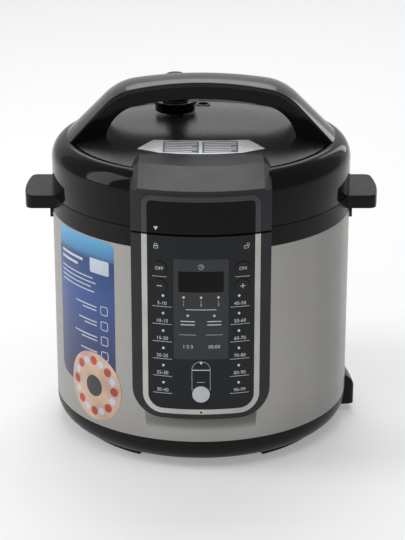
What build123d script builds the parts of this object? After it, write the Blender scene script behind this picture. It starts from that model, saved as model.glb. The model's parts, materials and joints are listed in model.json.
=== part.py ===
from build123d import *
import os
from math import asin, cos, degrees, radians, sin, sqrt

os.makedirs("parts", exist_ok=True)

# ---------------------------------------------------------------- sizes, mm
# The cooker stands on z = 0 with its axis on Z and its control panel facing -Y.
# An azimuth is an angle about the axis, from the front towards the right (+X).

# Clearances
fit_gap = 0.3             # between separate pieces
seam_gap = 0.6            # dark line between the base and the lid
panel_seam = 2.0          # gap between the base's panel and the lid's
panel_seam_rise = 0.4     # lid's panel above the lid's lower edge
running_gap = 0.06        # radial, stem in its bore
screw_gap = 0.2           # radial, screw in its hole
loose_gap = 1.0           # radial, round the pot's rim and the vessel's flange

# Casing of the base
body_radius = 142.0
base_height = 29.0        # table to the lower edge of the steel
sleeve_wall = 0.8
ring_height = 17.9
pan_lift = 3.6            # table to the pan's underside
pan_wall = 2.5
pan_round_width = 27.0    # in from the body to where the pan starts to curve up
pan_rim_height = 3.0      # upright band under the steel
pan_hole_radius = 60.0
lip_wall = 1.4            # lip that centres the steel
lip_height = 6.0
ring_wall = 3.5
shelf_drop = 8.4          # ring's top edge down to the shelf that carries the outer pot
shelf_wall = 3.0
shelf_gap = 2.5           # radial, vessel in the shelf

# Feet
foot_azimuths = (43.0, 137.0, 223.0, 317.0)
foot_half_angle = 15.0
foot_width = 21.0
foot_proud = 8.0          # out from where the pan starts to curve up
foot_bite = 2.3           # feet's blocks, up into the pan's wall
pad_height = 2.4
pad_inset = 1.6

# Carrying handles
handle_proud = 26.0       # out from the body
handle_half_width = 35.0
handle_height = 12.5
handle_wall = 3.0
handle_corner = 7.0
handle_edge = 2.2
handle_tab_half_width = 18.0
handle_tab_depth = 2.6
handle_tab_drop = 14.0
handle_plate_wall = 2.0

# Cooking vessel
pot_inset = 28.0          # in from the body, for the vessel and the air round it
pot_depth = 152.0
vessel_rise = 16.5        # steel's lower edge to the vessel's floor
pot_wall = 2.0
pot_rim_width = 4.5
pot_corner = 14.0
pot_clearance = 1.5
outer_pot_wall = 1.5
tooth_count = 6
tooth_half_angle = 13.0
tooth_depth = 5.5
tooth_wall = 2.5
lug_half_angle = 12.0
lug_wall = 3.0
lug_gap = 0.5             # lug under tooth
rim_drop = 6.0            # lugs' undersides down to the pot's rim

# Heating
heater_inset = 16.0       # in from the pot
heater_height = 12.0
element_inset = 26.0      # in from the heating plate
element_tube = 4.0
element_turn = 330.0      # the tube's ends stay apart
disc_spring_inner = 32.0
disc_spring_margin = 10.0  # in from the heating element
disc_spring_height = 3.5
sensor_radius = 8.0
sensor_stem_radius = 3.0
sensor_flange = 1.6
sensor_play = 0.5
sensor_cup_radius = 13.0
sensor_cup_depth = 7.0
sheet_wall = 1.0
sensor_wire = 0.9
sensor_coils = 4

# Control panel, on the base
panel_proud = 9.5         # out from the body
panel_half_width = 63.0
panel_rise = 28.0         # above the steel's lower edge
panel_corner = 27.0
panel_bevel = 5.0
panel_bevel_depth = 3.0
trim_inset = 9.7
trim_width = 5.0
trim_rise = 4.5           # above the housing's lower edge
trim_corner = 18.0
trim_depth = 2.6
face_wall = 2.0
window_lap = 2.3          # face plate beyond the opening behind it
window_margin = 7.0       # trim's lower edge to that opening
sleeve_window_margin = 6.0
display_half_width = 20.4
display_drop = 52.3       # this and the other drops: under the panel's upper edge
display_height = 19.6
key_offset = 37.164       # from the panel's middle line
key_radius = 6.6
key_top_drop = 30.7
key_low_drop = 47.3
key_proud = 0.7
key_round = 0.5
key_flange = 1.2
key_flange_wall = 1.4
key_gap = 0.25
key_travel = 0.6
start_key_rise = 24.7     # above the housing's lower edge
start_key_radius = 8.0
board_wall = 1.6
board_setback = 15.0      # panel surface to the control board
switch_height = 3.4
switch_body_height = 2.4
switch_side = 6.0
lamp_radius = 1.2
lamp_row_drop = 56.7
lamp_row_pitch = 16.92
lamp_row_count = 6
lamp_row_offset = 34.2
lamp_top_drop = 57.3
lamp_top_offset = 15.2
lamp_mid_drop = 74.8
lamp_mid_offset = 11.6
lamp_single_drop = 120.7
board_screw_inset = 4.0

# Mains inlet
inlet_azimuth = 97.0
inlet_drop = 10.0         # under the steel's lower edge
inlet_width = 28.0
inlet_tall = 20.0
inlet_round = 2.0
inlet_depth = 21.0
inlet_cavity_width = 24.0
inlet_cavity_tall = 16.0
inlet_cavity_round = 3.0
inlet_cavity_depth = 16.0
blade_width = 4.0
blade_wall = 2.0
blade_length = 13.0
blade_spacing = 7.0
earth_rise = 4.0
hood_proud = 8.0          # out from the body
hood_half_width = 25.0
hood_lift = 4.4           # above the pan's underside
hood_root = 14.0          # in from the body, where the hood joins the pan
hood_rise = 9.0           # above the steel's lower edge
hood_shoulder_drop = 2.0
hood_corner = 5.0
hood_round = 16.7

# Bottom cover and power board
cover_lap = 7.0
cover_wall = 1.0
cover_screw_inset = 3.6
cover_screw_count = 4
cover_screw_start = 45.0
vent_count = 16
vent_radius = 39.0
vent_length = 22.8
vent_width = 3.0
screw_radius = 1.5
screw_head_radius = 3.0
screw_head_height = 1.8
screw_bite = 0.8          # share of a boss that its screw fills
boss_radius = 3.4
boss_height = 9.0
power_board_width = 92.0
power_board_depth = 48.0
power_board_inset = 33.0  # in from where the pan starts to curve up
post_height = 7.0
relay_place = (28.0, 4.0)         # from the middle of the power board
relay_size = (19.0, 15.0, 16.0)
transformer_place = (-24.0, 2.0)
transformer_size = (26.0, 22.0, 19.0)
terminal_place = (4.0, 13.0)
terminal_size = (22.0, 10.0, 12.0)
block_corner = 1.2
capacitor_places = ((4.0, -6.0), (4.0, -18.0))
capacitor_radius = 5.0
capacitor_height = 14.0
pressure_switch_inset = 8.0       # in from the disc spring's outer edge
pressure_switch_size = (20.0, 10.0, 12.0)
thermal_fuse_size = (24.0, 8.0, 5.0)

# Condensate cup, at the rear
cup_half_width = 31.0
cup_height = 54.0
cup_drop = 11.5           # under the steel's upper edge
cup_proud = 15.5          # out from the body
cup_wall = 1.8
holder_wall = 2.6
holder_proud = 11.0       # out from the body
holder_back = 1.6
rail_depth = 1.2
rail_height = 2.0
rail_drop = 14.0
drain_radius = 3.0

# Lid casing
lid_skirt_height = 31.0   # up to where the skirt starts to round over
lid_round_width = 16.5
lid_round_height = 19.0
lid_wall = 2.5
groove_width = 3.5
groove_depth = 2.4
land_width = 10.0
dome_edge_inset = 4.5
dome_rise = 12.0          # above the crest
dome_edge_drop = 1.0      # under the crest
post_radius = 5.0
post_circle = 75.0
post_azimuths = (0.0, 120.0, 240.0)

# Arch handle
arch_rise = 44.0          # above the dome
arch_crown_drop = 4.83    # from the middle of the crown to its ends
arch_slope_run = 74.0     # from the crown's end out to the foot of the slope
arch_bend_radius = 56.0
arch_slope = 45.0
arch_run_inset = 6.0      # in from the body, where the sloping line stops
arch_end_lap = 1.5        # ends of the handle, out over the crest
arch_crown_curve = 142.0  # radius of the handle's top, from front to back
arch_half_depth = 19.5
arch_end_half_depth = 33.0
arch_cover_wall = 4.0     # depth of the cover's edge
arch_edge = 1.2
underside_drop = 17.0
underside_radius = 330.0
underside_run = 76.0      # from the underside's crown out to the foot of the slope
underside_bend = 36.0
arch_shell = 3.0

# Front bracket and lid panel
bracket_reach = 89.5      # middle of the lid to the bracket's back edge
bracket_rise = 6.0        # above the crest
bracket_ridge_lap = 0.5   # out over the crest
bracket_lip_proud = 6.0   # out from the panel
bracket_fall = 13.5       # from the ridge to the lip
bracket_lip_wall = 2.6
bracket_bevel = 7.0
lid_panel_drop = 7.0      # under the lip
lid_panel_corner = 9.0

# Pressure lid and its fittings
press_wall = 2.0
press_skirt_gap = 0.7     # skirt above the pot's rim
press_rise = 3.0          # shoulder above the teeth
press_slope_width = 10.8
press_dome_drop = 33.0    # under the dome of the casing
seal_width = 10.9
seal_wall = 2.8
seal_lip = 7.2
seal_tip = 1.7
seal_lift = 0.5           # above the pot's rim, until it is pressed down
rack_wall = 1.2
rack_height = 8.5
pipe_x = -25.0
pipe_y = 43.0
pipe_radius = 6.0
pipe_bore = 2.5
pipe_nut_radius = 10.0
pipe_nut_height = 6.0
pipe_collar_radius = 9.0
pipe_collar_height = 8.0
pipe_tail = 6.0
pipe_head = 15.0
shield_radius = 12.0
shield_depth = 12.0
shield_slots = 8
knob_body_radius = 19.5
knob_flange_radius = 22.0
knob_skirt_height = 10.5
knob_flange_wall = 2.6
knob_grip_radius = 14.5
knob_tip_radius = 9.0
knob_grip_height = 25.5
knob_pointer_width = 3.0
float_x = 2.0
float_inset = 63.0        # in from the body
float_stem_radius = 2.5
float_collar_radius = 4.3
float_collar_height = 2.0
float_travel = 4.0
float_seal_radius = 6.0
float_seal_wall = 1.5
float_sink = 2.0          # top of the pin below the well's rim
well_radius = 7.0
well_bore = 5.0
well_rise = 1.5           # above the dome round it

# --------------------------------------------------------- sizes that follow
# the vessel stands on the base, and the rings above take their height from it
pan_floor_top = pan_lift + pan_wall
vessel_floor_bottom = base_height + vessel_rise
vessel_floor_top = vessel_floor_bottom + outer_pot_wall
heater_bottom = vessel_floor_top + disc_spring_height
pot_floor_bottom = heater_bottom + heater_height
pot_floor_top = pot_floor_bottom + pot_wall
rim_top = pot_floor_top + pot_depth
shoulder_top = rim_top - pot_wall
lug_bottom = rim_top + rim_drop
lug_top = lug_bottom + lug_wall
tooth_bottom = lug_top + lug_gap
tooth_top = tooth_bottom + tooth_wall
shelf_top = tooth_bottom
ring_top = shelf_top + shelf_drop
sleeve_top = ring_top - ring_height
sleeve_height = sleeve_top - base_height
lid_bottom = ring_top + seam_gap

# the vessel's radii
lip_radius = body_radius - sleeve_wall - fit_gap
pot_radius = body_radius - pot_inset
float_y = body_radius - float_inset
pot_rim_radius = pot_radius + pot_wall + pot_rim_width
tooth_tip_radius = pot_rim_radius + loose_gap
vessel_radius = tooth_tip_radius + tooth_depth
shelf_radius = vessel_radius + outer_pot_wall + shelf_gap
flange_radius = body_radius - ring_wall - loose_gap
outer_pot_radius = pot_radius + pot_wall + pot_clearance
heater_radius = pot_radius - heater_inset
element_radius = heater_radius - element_inset
disc_spring_outer = element_radius - disc_spring_margin

# the pan, its feet and its cover
pan_flat_radius = body_radius - pan_round_width
foot_outer_radius = pan_flat_radius + foot_proud
foot_inner_radius = foot_outer_radius - foot_width
cover_radius = pan_hole_radius + cover_lap
cover_screw_radius = cover_radius - cover_screw_inset
power_board_offset = pan_flat_radius - power_board_inset

# what stands out from the body
handle_reach = body_radius + handle_proud
hood_reach = body_radius + hood_proud
hood_bottom = pan_lift + hood_lift
hood_top = base_height + hood_rise
hood_shoulder = base_height - hood_shoulder_drop
inlet_height = base_height - inlet_drop
cup_reach = body_radius + cup_proud
holder_reach = body_radius + holder_proud
cup_top = sleeve_top - cup_drop

# the control panel
panel_radius = body_radius + panel_proud
panel_bottom = base_height + panel_rise
lid_panel_bottom = lid_bottom + panel_seam_rise
panel_top = lid_panel_bottom - panel_seam
trim_half_width = panel_half_width - trim_inset
trim_bottom = panel_bottom + trim_rise
face_half_width = trim_half_width - trim_width
face_bottom = trim_bottom + trim_width
window_half_width = face_half_width - window_lap
sleeve_window_half_width = window_half_width + sleeve_window_margin
window_bottom = trim_bottom + window_margin
display_bottom = panel_top - display_drop
display_top = display_bottom + display_height
key_heights = (panel_top - key_top_drop, panel_top - key_low_drop)
start_key_height = panel_bottom + start_key_rise
board_front = panel_radius - board_setback

# the lid
lid_skirt_top = lid_bottom + lid_skirt_height
lid_crest_radius = body_radius - lid_round_width
lid_crest_height = lid_skirt_top + lid_round_height
land_radius = lid_crest_radius - land_width
dome_edge_radius = lid_crest_radius - dome_edge_inset
dome_edge_height = lid_crest_height - dome_edge_drop
dome_apex = lid_crest_height + dome_rise
arch_top = dome_apex + arch_rise
arch_run = body_radius - arch_run_inset
arch_crown_half = arch_run - arch_slope_run
arch_crown_radius = (arch_crown_half ** 2 + arch_crown_drop ** 2) / (2 * arch_crown_drop)
underside_half = arch_run - underside_run
arch_end_radius = lid_crest_radius + arch_end_lap
underside_top = arch_top - underside_drop
bracket_top = lid_crest_height + bracket_rise
bracket_ridge_radius = lid_crest_radius + bracket_ridge_lap
bracket_lip_radius = panel_radius + bracket_lip_proud
press_dome_height = dome_apex - press_dome_drop
bracket_lip_top = bracket_top - bracket_fall
lid_panel_top = bracket_lip_top - lid_panel_drop
knob_base = dome_apex
knob_flange_height = knob_base + knob_skirt_height
knob_top = knob_flange_height + knob_grip_height


# ------------------------------------------------------------------ helpers
def around(radius, azimuth, height=0.0):
    """A point at a radius and an azimuth."""
    turn = radians(azimuth)
    return Vector(radius * sin(turn), -radius * cos(turn), height)


def depth_at(radius, x):
    """How far in front of the axis an upright surface of this radius lies at x."""
    return sqrt(radius ** 2 - x ** 2)


def ring_sector(inner, outer, azimuth, half_angle):
    """A flat ring sector centred on an azimuth."""
    start = azimuth - 90 - half_angle
    with BuildSketch() as sector:
        with BuildLine():
            far = CenterArc((0, 0), outer, start, 2 * half_angle)
            near = CenterArc((0, 0), inner, start, 2 * half_angle)
            Line(far @ 0, near @ 0)
            Line(far @ 1, near @ 1)
        make_face()
    return sector.sketch


def turned(points):
    """A solid turned about the cooker's axis from an outline of (radius, height) points."""
    with BuildPart() as body:
        with BuildSketch(Plane.XZ):
            with BuildLine():
                Polyline(*points, close=True)
            make_face()
        revolve(axis=Axis.Z)
    return body.part


def upright_plate(outline, inner_radius, outer_radius):
    """An upright outline, seen from the front, bent to lie between two radii."""
    with BuildPart() as plate:
        with BuildSketch(Plane.XZ):
            add(outline)
        extrude(amount=outer_radius)
        with BuildSketch(Plane.XY):
            Circle(outer_radius)
            Circle(inner_radius, mode=Mode.SUBTRACT)
        extrude(amount=arch_top, mode=Mode.INTERSECT)
    return plate.part


def panel_outline(half_width, bottom, top, corner, rounded=0):
    """A rectangle with two rounded corners: the lower pair, or the upper with rounded = -1."""
    with BuildSketch() as outline:
        with Locations((0, (bottom + top) / 2)):
            Rectangle(2 * half_width, top - bottom)
        fillet(outline.vertices().group_by(Axis.Y)[rounded], corner)
    return outline.sketch


def finish(piece, name):
    """Name a finished piece and write it."""
    piece.part.label = name
    export_step(piece.part, f"parts/{name}.step")


# ------------------------------------------------------------- base: casing
hood_side = Plane(
    origin=(0, 0, 0),
    x_dir=around(1, inlet_azimuth),
    z_dir=around(1, inlet_azimuth).cross(Vector(0, 0, 1)),
)
inlet_face = Plane(
    origin=around(hood_reach, inlet_azimuth, inlet_height),
    x_dir=around(1, inlet_azimuth + 90),
    z_dir=around(1, inlet_azimuth),
)

# the hood that the mains inlet sits in, clear of the steel behind it
with BuildPart() as inlet_hood:
    with BuildSketch(hood_side):
        with BuildLine():
            Polyline(
                (hood_reach, hood_shoulder),
                (hood_reach, hood_bottom),
                (body_radius - hood_root, hood_bottom),
                (body_radius - hood_root, hood_top),
                (body_radius + fit_gap, hood_top),
            )
            RadiusArc((body_radius + fit_gap, hood_top), (hood_reach, hood_shoulder), hood_round)
        make_face()
    extrude(amount=hood_half_width, both=True)
    corners = inlet_hood.edges().filter_by(Axis.Z).filter_by_position(
        Axis(hood_side.origin, hood_side.x_dir), hood_reach - 1, hood_reach + 1
    )
    fillet(corners, hood_corner)
    with BuildSketch(Plane.XY.offset(base_height)):
        Circle(body_radius + fit_gap)
    extrude(amount=hood_top, mode=Mode.SUBTRACT)

power_posts = [
    (x * (power_board_width / 2 - board_screw_inset),
     y * (power_board_depth / 2 - board_screw_inset) - power_board_offset)
    for x in (-1, 1) for y in (-1, 1)
]

with BuildPart() as base_pan:
    with BuildSketch(Plane.XZ):
        with BuildLine():
            centre = (pan_flat_radius, base_height - pan_rim_height)
            width = body_radius - pan_flat_radius
            height = base_height - pan_rim_height - pan_lift
            skin = EllipticalCenterArc(centre, width, height, start_angle=270, arc_size=90)
            inside = EllipticalCenterArc(
                centre, width - pan_wall, height - pan_wall, start_angle=270, arc_size=90
            )
            Polyline(
                skin @ 1,
                (body_radius, base_height),
                (lip_radius, base_height),
                (lip_radius, base_height + lip_height),
                (lip_radius - lip_wall, base_height + lip_height),
                inside @ 1,
            )
            Polyline(
                inside @ 0,
                (pan_hole_radius, pan_floor_top),
                (pan_hole_radius, pan_lift),
                skin @ 0,
            )
        make_face()
    revolve(axis=Axis.Z)
    with BuildSketch(Plane.XY.offset(pad_height)):
        for azimuth in foot_azimuths:
            add(ring_sector(foot_inner_radius, foot_outer_radius, azimuth, foot_half_angle))
    extrude(amount=pan_lift - pad_height + foot_bite)
    with BuildSketch(Plane.XY.offset(pan_lift + pan_wall / 2)):
        with Locations(*power_posts):
            Circle(boss_radius)
    extrude(amount=pan_wall / 2 + post_height)
    with BuildSketch(Plane.XY.offset(pan_lift)):
        with PolarLocations(cover_screw_radius, cover_screw_count, cover_screw_start):
            Circle(boss_radius)
    extrude(amount=boss_height)
    add(inlet_hood.part)
    with BuildSketch(inlet_face):
        Rectangle(inlet_width + fit_gap, inlet_tall + fit_gap)
    extrude(amount=-inlet_depth, mode=Mode.SUBTRACT)
    with BuildSketch(Plane.XY.offset(pan_lift)):
        with PolarLocations(cover_screw_radius, cover_screw_count, cover_screw_start):
            Circle(screw_radius + screw_gap)
    extrude(amount=boss_height, mode=Mode.SUBTRACT)
    with BuildSketch(Plane.XY.offset(pan_floor_top)):
        with Locations(*power_posts):
            Circle(screw_radius + screw_gap)
    extrude(amount=post_height, mode=Mode.SUBTRACT)
finish(base_pan, "base_pan")

with BuildPart() as foot_pads:
    with BuildSketch(Plane.XY):
        for azimuth in foot_azimuths:
            add(ring_sector(
                foot_inner_radius + pad_inset,
                foot_outer_radius - pad_inset,
                azimuth,
                foot_half_angle - degrees(pad_inset / foot_outer_radius),
            ))
    extrude(amount=pad_height)
finish(foot_pads, "foot_pads")

with BuildPart() as bottom_cover:
    with BuildSketch(Plane.XY.offset(pan_lift - cover_wall)):
        Circle(cover_radius)
        with PolarLocations(cover_screw_radius, cover_screw_count, cover_screw_start):
            Circle(screw_radius + screw_gap, mode=Mode.SUBTRACT)
        with PolarLocations(vent_radius, vent_count):
            SlotOverall(vent_length, vent_width, mode=Mode.SUBTRACT)
    extrude(amount=cover_wall)
finish(bottom_cover, "bottom_cover")

with BuildPart() as cover_screws:
    with BuildSketch(Plane.XY.offset(pan_lift - cover_wall)):
        with PolarLocations(cover_screw_radius, cover_screw_count, cover_screw_start):
            Circle(screw_head_radius)
    extrude(amount=-screw_head_height)
    with BuildSketch(Plane.XY.offset(pan_lift - cover_wall)):
        with PolarLocations(cover_screw_radius, cover_screw_count, cover_screw_start):
            Circle(screw_radius)
    extrude(amount=boss_height)
finish(cover_screws, "cover_screws")

with BuildPart() as steel_sleeve:
    with BuildSketch(Plane.XY.offset(base_height)):
        Circle(body_radius)
        Circle(body_radius - sleeve_wall, mode=Mode.SUBTRACT)
    extrude(amount=sleeve_height)
    with BuildSketch(Plane.XZ):
        with Locations((0, (window_bottom + sleeve_top) / 2)):
            Rectangle(2 * sleeve_window_half_width, sleeve_top - window_bottom)
    extrude(amount=body_radius, mode=Mode.SUBTRACT)
finish(steel_sleeve, "steel_sleeve")

with BuildPart() as upper_ring:
    add(turned([
        (body_radius, sleeve_top),
        (body_radius, ring_top),
        (body_radius - ring_wall, ring_top),
        (body_radius - ring_wall, shelf_top),
        (shelf_radius, shelf_top),
        (shelf_radius, shelf_top - shelf_wall),
        (body_radius - ring_wall, shelf_top - shelf_wall),
        (body_radius - ring_wall, sleeve_top - lip_height),
        (lip_radius, sleeve_top - lip_height),
        (lip_radius, sleeve_top),
    ]))
finish(upper_ring, "upper_ring")


# ------------------------------------------------------------ base: handles
def handle_outline(inset):
    """Plan of a carrying handle on the right, drawn in by an inset."""
    with BuildSketch() as outline:
        Circle(handle_reach - inset)
        with Locations((handle_reach, 0)):
            Rectangle(2 * handle_reach, 2 * (handle_half_width - inset), mode=Mode.INTERSECT)
        Circle(body_radius + inset, mode=Mode.SUBTRACT)
        fillet(outline.vertices().group_by(Axis.X)[-1], handle_corner - inset)
    return outline.sketch


def side_handle(side, name):
    """A carrying handle, hollow from below, with the tab that backs it on the steel."""
    handle_bottom = ring_top - handle_height
    low = Plane(origin=(0, 0, handle_bottom), x_dir=(side, 0, 0), z_dir=(0, 0, 1))
    with BuildPart() as handle:
        with BuildSketch(low):
            add(handle_outline(0))
        extrude(amount=handle_height)
        rim = handle.faces().sort_by(Axis.Z)[-1].edges()
        outside = [e for e in rim if (e @ 0.5).X * side > body_radius + 1]
        fillet(outside, handle_edge)
        with BuildSketch(low):
            add(handle_outline(handle_wall))
        extrude(amount=handle_height - handle_wall, mode=Mode.SUBTRACT)
        with BuildSketch(low.offset(-handle_tab_drop)):
            Circle(body_radius + fit_gap + handle_tab_depth)
            with Locations((handle_reach, 0)):
                Rectangle(2 * handle_reach, 2 * handle_tab_half_width, mode=Mode.INTERSECT)
            Circle(body_radius + fit_gap, mode=Mode.SUBTRACT)
        extrude(amount=handle_tab_drop + handle_wall)
    finish(handle, name)


def handle_plate(side, name):
    """The plate that closes a handle from below, inside its walls."""
    low = Plane(origin=(0, 0, ring_top - handle_height), x_dir=(side, 0, 0), z_dir=(0, 0, 1))
    with BuildPart() as plate:
        with BuildSketch(low):
            add(handle_outline(handle_wall + fit_gap))
        extrude(amount=handle_plate_wall)
    finish(plate, name)


side_handle(1, "right_handle")
side_handle(-1, "left_handle")
handle_plate(1, "right_handle_plate")
handle_plate(-1, "left_handle_plate")

# ------------------------------------------------------- base: the vessel
tooth_azimuths = [n * 360 / tooth_count for n in range(tooth_count)]

with BuildPart() as outer_pot:
    add(turned([
        (sensor_cup_radius + fit_gap, vessel_floor_bottom),
        (outer_pot_radius + outer_pot_wall, vessel_floor_bottom),
        (outer_pot_radius + outer_pot_wall, shoulder_top - outer_pot_wall),
        (vessel_radius + outer_pot_wall, shoulder_top - outer_pot_wall),
        (vessel_radius + outer_pot_wall, shelf_top),
        (flange_radius, shelf_top),
        (flange_radius, tooth_top),
        (vessel_radius, tooth_top),
        (vessel_radius, shoulder_top),
        (outer_pot_radius, shoulder_top),
        (outer_pot_radius, vessel_floor_top),
        (sensor_cup_radius + fit_gap, vessel_floor_top),
    ]))
    with BuildSketch(Plane.XY.offset(tooth_bottom)):
        for azimuth in tooth_azimuths:
            add(ring_sector(
                tooth_tip_radius, vessel_radius + outer_pot_wall / 2, azimuth, tooth_half_angle
            ))
    extrude(amount=tooth_wall)
finish(outer_pot, "outer_pot")

with BuildPart() as inner_pot:
    with BuildSketch(Plane.XZ):
        with BuildLine():
            FilletPolyline(
                (0, pot_floor_bottom),
                (pot_radius + pot_wall, pot_floor_bottom),
                (pot_radius + pot_wall, shoulder_top),
                radius=pot_corner,
            )
            Polyline(
                (pot_radius + pot_wall, shoulder_top),
                (pot_rim_radius, shoulder_top),
                (pot_rim_radius, rim_top),
                (pot_radius, rim_top),
            )
            FilletPolyline(
                (pot_radius, rim_top),
                (pot_radius, pot_floor_top),
                (0, pot_floor_top),
                radius=pot_corner - pot_wall,
            )
            Line((0, pot_floor_top), (0, pot_floor_bottom))
        make_face()
    revolve(axis=Axis.Z)
finish(inner_pot, "inner_pot")

with BuildPart() as heating_plate:
    with BuildSketch(Plane.XY.offset(heater_bottom)):
        Circle(heater_radius)
        Circle(sensor_radius + fit_gap, mode=Mode.SUBTRACT)
    extrude(amount=heater_height)
    with BuildSketch(Plane.XY.offset(heater_bottom)):
        Circle(element_radius + element_tube + fit_gap)
        Circle(element_radius - element_tube - fit_gap, mode=Mode.SUBTRACT)
    extrude(amount=heater_height / 2, mode=Mode.SUBTRACT)
finish(heating_plate, "heating_plate")

with BuildPart() as heating_element:
    with BuildSketch(Plane.XZ):
        with Locations((element_radius, heater_bottom + heater_height / 2 - element_tube)):
            Circle(element_tube)
    revolve(axis=Axis.Z, revolution_arc=element_turn)
finish(heating_element, "heating_element")

with BuildPart() as disc_spring:
    add(turned([
        (disc_spring_inner, vessel_floor_top),
        (disc_spring_inner + sheet_wall, vessel_floor_top),
        (disc_spring_outer, heater_bottom - sheet_wall),
        (disc_spring_outer, heater_bottom),
        (disc_spring_outer - 2 * sheet_wall, heater_bottom),
        (disc_spring_inner, vessel_floor_top + sheet_wall),
    ]))
finish(disc_spring, "disc_spring")

# the sensor's cap is pressed up against the pot and gives way downwards
sensor_top = pot_floor_bottom - fit_gap
sensor_flange_top = heater_bottom - sensor_play
cup_floor_top = vessel_floor_top - sensor_cup_depth + sheet_wall

with BuildPart() as sensor_cup:
    add(turned([
        (sensor_stem_radius + fit_gap, cup_floor_top - sheet_wall),
        (sensor_cup_radius, cup_floor_top - sheet_wall),
        (sensor_cup_radius, vessel_floor_top),
        (sensor_cup_radius + 3 * sheet_wall, vessel_floor_top),
        (sensor_cup_radius + 3 * sheet_wall, vessel_floor_top + sheet_wall),
        (sensor_cup_radius - sheet_wall, vessel_floor_top + sheet_wall),
        (sensor_cup_radius - sheet_wall, cup_floor_top),
        (sensor_stem_radius + fit_gap, cup_floor_top),
    ]))
finish(sensor_cup, "sensor_cup")

with BuildPart() as temperature_sensor:
    add(turned([
        (0, cup_floor_top - 4 * sheet_wall),
        (sensor_stem_radius, cup_floor_top - 4 * sheet_wall),
        (sensor_stem_radius, sensor_flange_top - sensor_flange),
        (sensor_cup_radius - 2 * sheet_wall, sensor_flange_top - sensor_flange),
        (sensor_cup_radius - 2 * sheet_wall, sensor_flange_top),
        (sensor_radius, sensor_flange_top),
        (sensor_radius, sensor_top),
        (0, sensor_top),
    ]))
finish(temperature_sensor, "temperature_sensor")

spring_length = sensor_flange_top - sensor_flange - cup_floor_top - sensor_wire
with BuildPart() as sensor_spring:
    with BuildLine():
        coil = Helix(
            pitch=spring_length / sensor_coils,
            height=spring_length,
            radius=sensor_stem_radius + 2 * sensor_wire,
            center=(0, 0, cup_floor_top + sensor_wire / 2),
        )
    with BuildSketch(Plane(origin=coil @ 0, z_dir=coil % 0)):
        Circle(sensor_wire / 2)
    sweep()
finish(sensor_spring, "sensor_spring")

# ------------------------------------------------------- base: control panel
board_low = window_bottom + fit_gap
board_high = sleeve_top - lip_height - 2 * fit_gap
board_half_width = window_half_width - 2 * fit_gap
tab_size = 2 * board_screw_inset
tab_shift = board_screw_inset / 2
upper_screws = min(key_heights) - key_radius - key_flange - board_screw_inset - 2 * fit_gap
board_screws = [
    (x * (board_half_width - board_screw_inset), z)
    for x in (-1, 1)
    for z in (board_low + board_screw_inset, upper_screws)
]

with BuildPart() as panel_housing:
    add(upright_plate(
        panel_outline(panel_half_width, panel_bottom, panel_top, panel_corner),
        body_radius + fit_gap,
        panel_radius,
    ))
    front = panel_housing.faces().filter_by(GeomType.CYLINDER).sort_by(SortBy.AREA)[-1]
    bevelled = front.edges().sort_by(Axis.Z)[:-1]
    chamfer(bevelled, panel_bevel_depth, panel_bevel)
    add(
        upright_plate(
            panel_outline(trim_half_width + fit_gap / 2, trim_bottom, panel_top + 1, trim_corner),
            panel_radius - trim_depth,
            panel_radius + 1,
        ),
        mode=Mode.SUBTRACT,
    )
    with BuildSketch(Plane.XZ):
        with Locations((0, (window_bottom + panel_top - window_margin) / 2)):
            Rectangle(2 * window_half_width, panel_top - window_margin - window_bottom)
    extrude(amount=panel_radius, mode=Mode.SUBTRACT)
    # tabs that the control board is screwed to
    tab_front = depth_at(panel_radius - trim_depth - fit_gap, window_half_width + 1)
    with BuildSketch(Plane.XZ.offset(board_front)):
        for x, z in board_screws:
            with Locations((x + (tab_shift if x > 0 else -tab_shift), z)):
                Rectangle(tab_size, tab_size)
    extrude(amount=tab_front - board_front)
    with BuildSketch(Plane.XZ.offset(board_front)):
        with Locations(*board_screws):
            Circle(screw_radius + screw_gap)
    extrude(amount=tab_front - board_front, mode=Mode.SUBTRACT)
finish(panel_housing, "panel_housing")

with BuildPart() as panel_trim:
    add(upright_plate(
        panel_outline(trim_half_width, trim_bottom + fit_gap / 2, panel_top, trim_corner),
        panel_radius - trim_depth,
        panel_radius,
    ))
    add(
        upright_plate(
            panel_outline(face_half_width, face_bottom, panel_top + 1, trim_corner - trim_width),
            body_radius,
            panel_radius + 1,
        ),
        mode=Mode.SUBTRACT,
    )
finish(panel_trim, "panel_trim")

row_drops = [lamp_row_drop + i * lamp_row_pitch for i in range(lamp_row_count)]
lamp_places = [(side * lamp_top_offset, lamp_top_drop) for side in (-1, 0, 1)]
lamp_places += [(side * lamp_mid_offset, lamp_mid_drop) for side in (-1, 1)]
lamp_places += [(side * lamp_row_offset, drop) for drop in row_drops for side in (-1, 1)]
lamp_places += [(0, lamp_single_drop)]
lamp_places = [(x, panel_top - drop) for x, drop in lamp_places]
key_places = [(side * key_offset, z) for z in key_heights for side in (-1, 1)]

with BuildPart() as panel_face:
    add(upright_plate(
        panel_outline(
            face_half_width - fit_gap / 2, face_bottom + fit_gap / 2, panel_top, trim_corner - trim_width
        ),
        panel_radius - face_wall,
        panel_radius,
    ))
    with BuildSketch(Plane.XZ):
        with Locations(*key_places):
            Circle(key_radius + key_gap)
        with Locations((0, start_key_height)):
            Circle(start_key_radius + key_gap)
        with Locations((0, (display_bottom + display_top) / 2)):
            Rectangle(2 * display_half_width, display_top - display_bottom)
        with Locations(*lamp_places):
            Circle(lamp_radius + screw_gap)
    extrude(amount=panel_radius, mode=Mode.SUBTRACT)
finish(panel_face, "panel_face")

with BuildPart() as display_window:
    with BuildSketch() as glass:
        with Locations((0, (display_bottom + display_top) / 2)):
            Rectangle(2 * (display_half_width - fit_gap), display_top - display_bottom - 2 * fit_gap)
    add(upright_plate(glass.sketch, panel_radius - face_wall, panel_radius))
finish(display_window, "display_window")

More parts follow.
